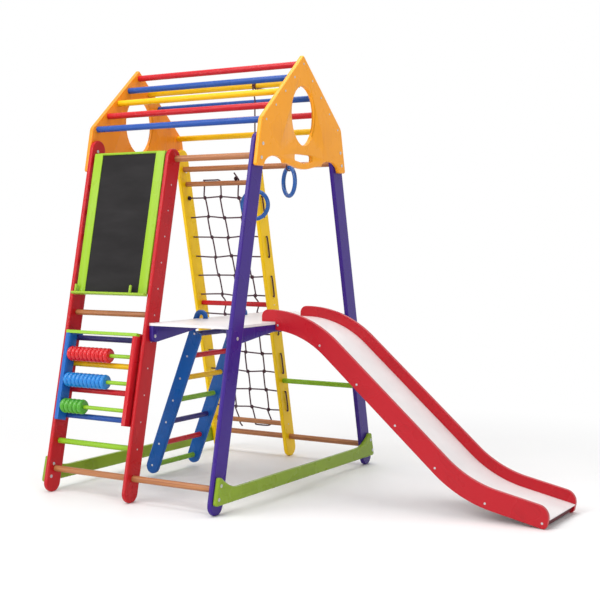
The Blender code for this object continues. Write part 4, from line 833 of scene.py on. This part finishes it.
# The abacus is a shallow frame hooked over the navy rung: a blue side, a red side and a lime strip on top.
# Three lime rods run between the sides, and glossy moulded beads slide on them, bunched at the left.
SIDE_SPACING = 0.335
SIDE_FOOT_Z = 0.335             # all that lies lower is the foot of a side
SIDE_DROP = 0.016
blue_side = painted("abacus_blue_paint", "1A62B4", front_grain)
red_side = painted("abacus_red_paint", "C61C26", front_grain)
left_side = finished_copy("abacus_side_left", "abacus_side_left_board", blue_side, "abacus")
right_side = finished_copy("abacus_side_left", "abacus_side_right_board", red_side, "abacus",
                           (SIDE_SPACING, 0, 0), "abacus_side_right_and_rods")
for board in (left_side, right_side):
    pick_edges(board, lambda place: place.z < SIDE_FOOT_Z)
    bpy.ops.transform.translate(value=-SIDE_DROP * slope_up)
    to_mode("OBJECT")
finished_copy("abacus_top_strip", "abacus_top_strip_board", lime_bar, "abacus")


def moulded(name, shade):
    """Glossy moulded plastic with a barely uneven skin."""
    material, nodes, links, shader = new_material(name)
    flow = noise(nodes, links, object_place(nodes), 60.0)
    two_tones(nodes, links, shader, flow, 0.3, 0.7, (toned(shade, 0.9), colour(shade)))
    between(nodes, links, flow, 0.16, 0.28, shader.inputs["Roughness"])
    bumps(nodes, links, shader, flow, 0.04, 0.0005)
    return material


BEAD_RADIUS = 0.029
BEAD_BORE = 0.0081
BEAD_CROWN = 0.0085             # by which a bead is thinner at its two faces
ROD_RADIUS = 0.0078
INNER_SPAN = (-0.8855, -0.5685)
for row, (bead_colour, count, width, shade) in enumerate((
        ("red", 10, 0.0203, "D8141C"), ("light_blue", 10, 0.0203, "1886D6"), ("green", 5, 0.0215, "4FA827"))):
    ends, y, z = bar_place("abacus_beads_" + bead_colour)[:3]
    bpy.ops.mesh.primitive_cylinder_add(
        vertices=20, radius=ROD_RADIUS, depth=INNER_SPAN[1] - INNER_SPAN[0],
        location=(sum(INNER_SPAN) / 2, y, z), rotation=(0, math.pi / 2, 0))
    rod = settle(bpy.context.object, "abacus_rod_" + str(row + 1))
    finish(rod, lime_bar, 40, "abacus")

    bpy.ops.mesh.primitive_circle_add(vertices=36, radius=BEAD_BORE, location=(ends[0], y, z),
                                      rotation=(0, math.pi / 2, 0))
    bead = settle(bpy.context.object, "abacus_bead")
    steps = [(width * (1 - math.cos(turn)) / 2, BEAD_RADIUS - BEAD_CROWN * (1 - math.sin(turn)))
             for turn in (math.pi * step / 10 for step in range(11))]
    steps += [(width, BEAD_BORE), (0.0, BEAD_BORE)]
    to_mode("EDIT")
    bpy.ops.mesh.select_all(action="SELECT")
    at = 0.0
    reach = BEAD_BORE
    for forward, radius in steps:
        bpy.ops.mesh.extrude_region_move(TRANSFORM_OT_translate={"value": (forward - at, 0, 0)})
        bpy.ops.transform.resize(value=(1, radius / reach, radius / reach),
                                 center_override=(ends[0] + forward, y, z))
        at = forward
        reach = radius
    bpy.ops.mesh.select_all(action="SELECT")
    bpy.ops.mesh.remove_doubles(threshold=0.00001)
    bpy.ops.mesh.normals_make_consistent(inside=False)
    to_mode("OBJECT")
    beads = [bead]
    for number in range(1, count):
        copy = bpy.data.objects.new("abacus_bead", bead.data.copy())
        copy.data.transform(Matrix.Translation((number * width, 0, 0)))
        bpy.context.scene.collection.objects.link(copy)
        beads.append(copy)
    row_of_beads = join(beads, "abacus_beads_" + bead_colour + "_moulded")
    plastic = moulded(bead_colour + "_bead_plastic", shade)
    finish(row_of_beads, plastic, 35, "beads_" + bead_colour, "abacus_beads_" + bead_colour)


# The net between the yellow rails is laced from two plum cords: one goes to and fro through the rails' holes.
# The other goes up and down round the net's two rungs, and every crossing is tied with a small knot.
NET_ROWS = [1.168 - 0.0870 * row for row in range(12)]
TOP_RUNG_Z = 1.230
DECK_RUNG_Z = 0.694
BOTTOM_RUNG_Z = 0.148
# Where each strand is between the rails, as a share of the way: at the top, at the deck, at the foot.
NET_SHARES = ((0.245, 0.32, 0.30), (0.478, 0.56, 0.54), (0.735, 0.80, 0.78))
NET_ROPE_RADIUS = 0.0033
NET_SHADE = "4A1C33"
ROPE_OVERLAP = 0.0014           # how far the two cords lie apart where they cross
END_TAIL = 0.012
OVER_DECK_BOARD = 0.0243        # from the rail out to the cord's middle line past the deck's left board
HOLE_BEND = 0.006               # from a rail's face to the cord that runs down along it
HOLE_DIP = 0.004
rear_foot = Vector((0, FOOT_Y, 0))
rear_up = Vector(rear_grain)
rear_out = Vector((0, math.cos(SLOPE_TILT), math.sin(SLOPE_TILT)))


def on_rear(x, out, along):
    """A point of the rear slope: outwards from its middle line, and along it from the floor."""
    return Vector((x, 0, 0)) + rear_foot + rear_up * along + rear_out * out


def along_slope(height):
    return height / math.cos(SLOPE_TILT)


def strand_x(strand, height):
    top, deck, bottom = NET_SHARES[strand]
    if height > DECK_RUNG_Z:
        share = deck + (top - deck) * (height - DECK_RUNG_Z) / (NET_ROWS[0] - DECK_RUNG_Z)
    else:
        share = deck + (bottom - deck) * (DECK_RUNG_Z - height) / (DECK_RUNG_Z - NET_ROWS[-1])
    return LEFT_RAIL[1] + (MIDDLE_RAIL[0] - LEFT_RAIL[1]) * share


def crossing(strand, row):
    height = NET_ROWS[row]
    drift = 0.004 * math.sin(1.7 * row + 2.1 * strand)
    return strand_x(strand, height), along_slope(height + drift)


level = [on_rear(LEFT_RAIL[0] - END_TAIL, 0, along_slope(NET_ROWS[0]))]
for row in range(12):
    rightwards = row % 2 == 0
    here = along_slope(NET_ROWS[row])
    stretch = [on_rear(LEFT_RAIL[0], 0, here), on_rear(LEFT_RAIL[1] + HOLE_BEND, 0, here)]
    crossings = [crossing(strand, row) for strand in range(3)]
    stretch += [on_rear(x, ROPE_OVERLAP, along) for x, along in crossings]
    stretch += [on_rear(MIDDLE_RAIL[0] - HOLE_BEND, 0, here), on_rear(MIDDLE_RAIL[1], 0, here)]
    level += stretch if rightwards else stretch[::-1]
    if row < 11:
        below = along_slope(NET_ROWS[row + 1])
        out = MIDDLE_RAIL[1] + HOLE_BEND if rightwards else LEFT_RAIL[0] - HOLE_BEND
        if rightwards and BOARD_TOP - END_HEIGHT < NET_ROWS[row] < BOARD_TOP:
            over = MIDDLE_RAIL[1] + OVER_DECK_BOARD
            under = along_slope(BOARD_TOP - END_HEIGHT)
            level += [on_rear(over - 0.003, 0, here), on_rear(over, 0, here - HOLE_DIP),
                      on_rear(over, 0, under - 0.012), on_rear(out, 0, under - 0.020)]
        else:
            level += [on_rear(out, 0, here - HOLE_DIP)]
        level += [on_rear(out, 0, below + HOLE_DIP)]
level.append(on_rear(LEFT_RAIL[0] - END_TAIL, 0, along_slope(NET_ROWS[-1])))

WRAP = 0.0148                   # from a rung's middle line to the middle of a cord that lies on it
KNOT_STEP = 0.0032              # by which a strand steps aside in a knot
KNOT_REACH = 0.005
tops = along_slope(TOP_RUNG_Z)
bottoms = along_slope(BOTTOM_RUNG_Z)


def strand_run(strand):
    """A strand from the top row to the bottom one, which passes behind the red rung."""
    points = []
    for row in range(12):
        x, along = crossing(strand, row)
        aside = KNOT_STEP * (-1) ** (row + strand)
        points += [on_rear(x - aside, -ROPE_OVERLAP, along + KNOT_REACH),
                   on_rear(x + aside, -ROPE_OVERLAP, along - KNOT_REACH)]
        if row < 11 and NET_ROWS[row] > DECK_RUNG_Z > NET_ROWS[row + 1]:
            points.append(on_rear(strand_x(strand, DECK_RUNG_Z), WRAP + 0.0015, along_slope(DECK_RUNG_Z)))
    return points


def round_rung(strand, side, along, height, up):
    """Behind one of the net's rungs and round to the middle of its upper or lower side."""
    x = strand_x(strand, height)
    return [on_rear(x, WRAP + 0.001, along), on_rear(x + side * 0.004, WRAP * 0.75, along + up * WRAP * 0.9),
            on_rear(x + side * 0.014, -0.002, along + up * (WRAP + 0.001))]


upright = [on_rear(strand_x(0, BOTTOM_RUNG_Z) + 0.020, 0.004, bottoms - WRAP - 0.018)]
upright += round_rung(0, 1, bottoms, BOTTOM_RUNG_Z, -1)[::-1] + strand_run(0)[::-1]
upright += round_rung(0, 1, tops, TOP_RUNG_Z, 1) + round_rung(1, -1, tops, TOP_RUNG_Z, 1)[::-1]
upright += strand_run(1) + round_rung(1, 1, bottoms, BOTTOM_RUNG_Z, -1)
upright += round_rung(2, -1, bottoms, BOTTOM_RUNG_Z, -1)[::-1]
upright += strand_run(2)[::-1] + round_rung(2, 1, tops, TOP_RUNG_Z, 1)
upright.append(on_rear(strand_x(2, TOP_RUNG_Z) - 0.010, 0.004, tops + WRAP + 0.030))

level_rope = lay_rope("net_level_rope", even_route(level, 0.005), NET_SHADE, NET_ROPE_RADIUS)
upright_rope = lay_rope("net_upright_rope", even_route(upright, 0.005), NET_SHADE, NET_ROPE_RADIUS)
knots = []
for strand in range(3):
    for row in range(12):
        x, along = crossing(strand, row)
        for lean in (0.75, -0.75):
            turn = (math.pi / 2 + SLOPE_TILT + lean * 0.4, lean, 0.3 * strand)
            bpy.ops.mesh.primitive_torus_add(
                location=on_rear(x, 0, along), rotation=turn, major_segments=12, minor_segments=6,
                major_radius=0.0058, minor_radius=0.0032)
            knots.append(bpy.context.object)
stoppers = [(LEFT_RAIL[1] + HOLE_BEND, 0, along_slope(NET_ROWS[0])),
            (LEFT_RAIL[0] - 0.008, 0, along_slope(NET_ROWS[0])),
            (LEFT_RAIL[0] - 0.008, 0, along_slope(NET_ROWS[-1])),
            (strand_x(2, TOP_RUNG_Z), -0.001, tops + WRAP + 0.004)]
for stopper in stoppers:
    for tilt in (0.0, 1.1, -1.1):
        bpy.ops.mesh.primitive_torus_add(
            location=on_rear(*stopper), rotation=(SLOPE_TILT + tilt, math.pi / 2, tilt),
            major_segments=16, minor_segments=8, major_radius=0.0060, minor_radius=0.0042)
        knots.append(bpy.context.object)
net_knots = join(knots, "net_knots_tied")
bpy.ops.object.shade_smooth()
net_knots.data.materials.append(level_rope.data.materials[0])
for piece in (level_rope, upright_rope, net_knots):
    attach(piece, "frame")
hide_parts("climbing_net")


# The two rings are moulded blue plastic, 130 mm across on a 17 mm round section, smooth to grip.
ring_blue = moulded("blue_ring_plastic", "1559A8")
for side, (ring_x, ring_top, ring_turn) in RING_TOPS.items():
    middle = (ring_x, RING_BAR.y, ring_top - RING_RADIUS)
    bpy.ops.mesh.primitive_torus_add(
        location=middle, rotation=(math.pi / 2, 0, math.radians(ring_turn)),
        major_segments=72, minor_segments=18, major_radius=RING_RADIUS, minor_radius=RING_TUBE_RADIUS)
    ring = settle(bpy.context.object, "ring_" + side + "_moulded")
    bpy.ops.object.shade_smooth()
    ring.data.materials.append(ring_blue)
    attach(ring, "ring_" + side + "_swing")
    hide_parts("ring_" + side)


# The frame stands on a pale studio floor under two broad soft lights and two narrow upright strips.
# The floor fades into a white background and keeps the frame's soft shadow.
def seen_directly(nodes, links):
    """1 for what the camera sees, in a mirror or through glass too, and 0 for light on the object."""
    path = nodes.new("ShaderNodeLightPath")
    seen = calculated(nodes, links, "MAXIMUM", path.outputs["Is Camera Ray"], path.outputs["Is Glossy Ray"])
    return calculated(nodes, links, "MAXIMUM", seen, path.outputs["Is Transmission Ray"])


bpy.ops.mesh.primitive_plane_add(size=40, location=(0, 0, -0.0005))
floor = settle(bpy.context.object, "studio_floor")
material, nodes, links, shader = new_material("pale_studio_floor")
place = object_place(nodes)
distance = nodes.new("ShaderNodeVectorMath")
distance.operation = "LENGTH"
links.new(place, distance.inputs[0])
fade = nodes.new("ShaderNodeMapRange")
fade.interpolation_type = "SMOOTHSTEP"
fade.inputs["From Min"].default_value = 0.8
fade.inputs["From Max"].default_value = 2.5
links.new(distance.outputs["Value"], fade.inputs["Value"])
between(nodes, links, noise(nodes, links, place, 3.0), 0.93, 0.96, shader.inputs["Base Color"])
shader.inputs["Roughness"].default_value = 0.6
glow = nodes.new("ShaderNodeEmission")
glow.inputs["Color"].default_value = (1, 1, 1, 1)
shown = calculated(nodes, links, "MULTIPLY", fade.outputs["Result"], seen_directly(nodes, links))
blend = nodes.new("ShaderNodeMixShader")
links.new(shown, blend.inputs["Fac"])
links.new(shader.outputs["BSDF"], blend.inputs[1])
links.new(glow.outputs["Emission"], blend.inputs[2])
links.new(blend.outputs["Shader"], nodes["Material Output"].inputs["Surface"])
floor.data.materials.append(material)

# Each lamp: its name, place, the point it faces, its width and height, and its power.
for name, location, target, size, power in (
        ("key_light", (-1.3, -3.0, 3.4), (-0.3, 0, 1.0), (2.4, 2.4), 84),
        ("side_strip", (3.4, -2.6, 1.5), (-0.2, 0, 0.8), (0.35, 2.6), 34),
        ("edge_strip", (-2.8, -2.9, 1.4), (-0.2, 0, 0.8), (0.18, 2.4), 16),
        ("top_light", (-0.2, 0.4, 4.0), (-0.2, 0, 0.0), (3.0, 3.0), 84)):
    bpy.ops.object.light_add(type="AREA", location=location)
    lamp = bpy.context.object
    lamp.name = name
    lamp.data.shape = "RECTANGLE"
    lamp.data.size, lamp.data.size_y = size
    lamp.data.energy = power
    lamp.rotation_euler = (Vector(target) - Vector(location)).to_track_quat("-Z", "Y").to_euler()

world = bpy.data.worlds.new("white_studio")
bpy.context.scene.world = world
world.use_nodes = True
nodes = world.node_tree.nodes
links = world.node_tree.links
nodes["Background"].inputs["Color"].default_value = (1, 1, 1, 1)
between(nodes, links, seen_directly(nodes, links), 0.44, 1.0, nodes["Background"].inputs["Strength"])
bpy.context.scene.view_settings.view_transform = "Standard"
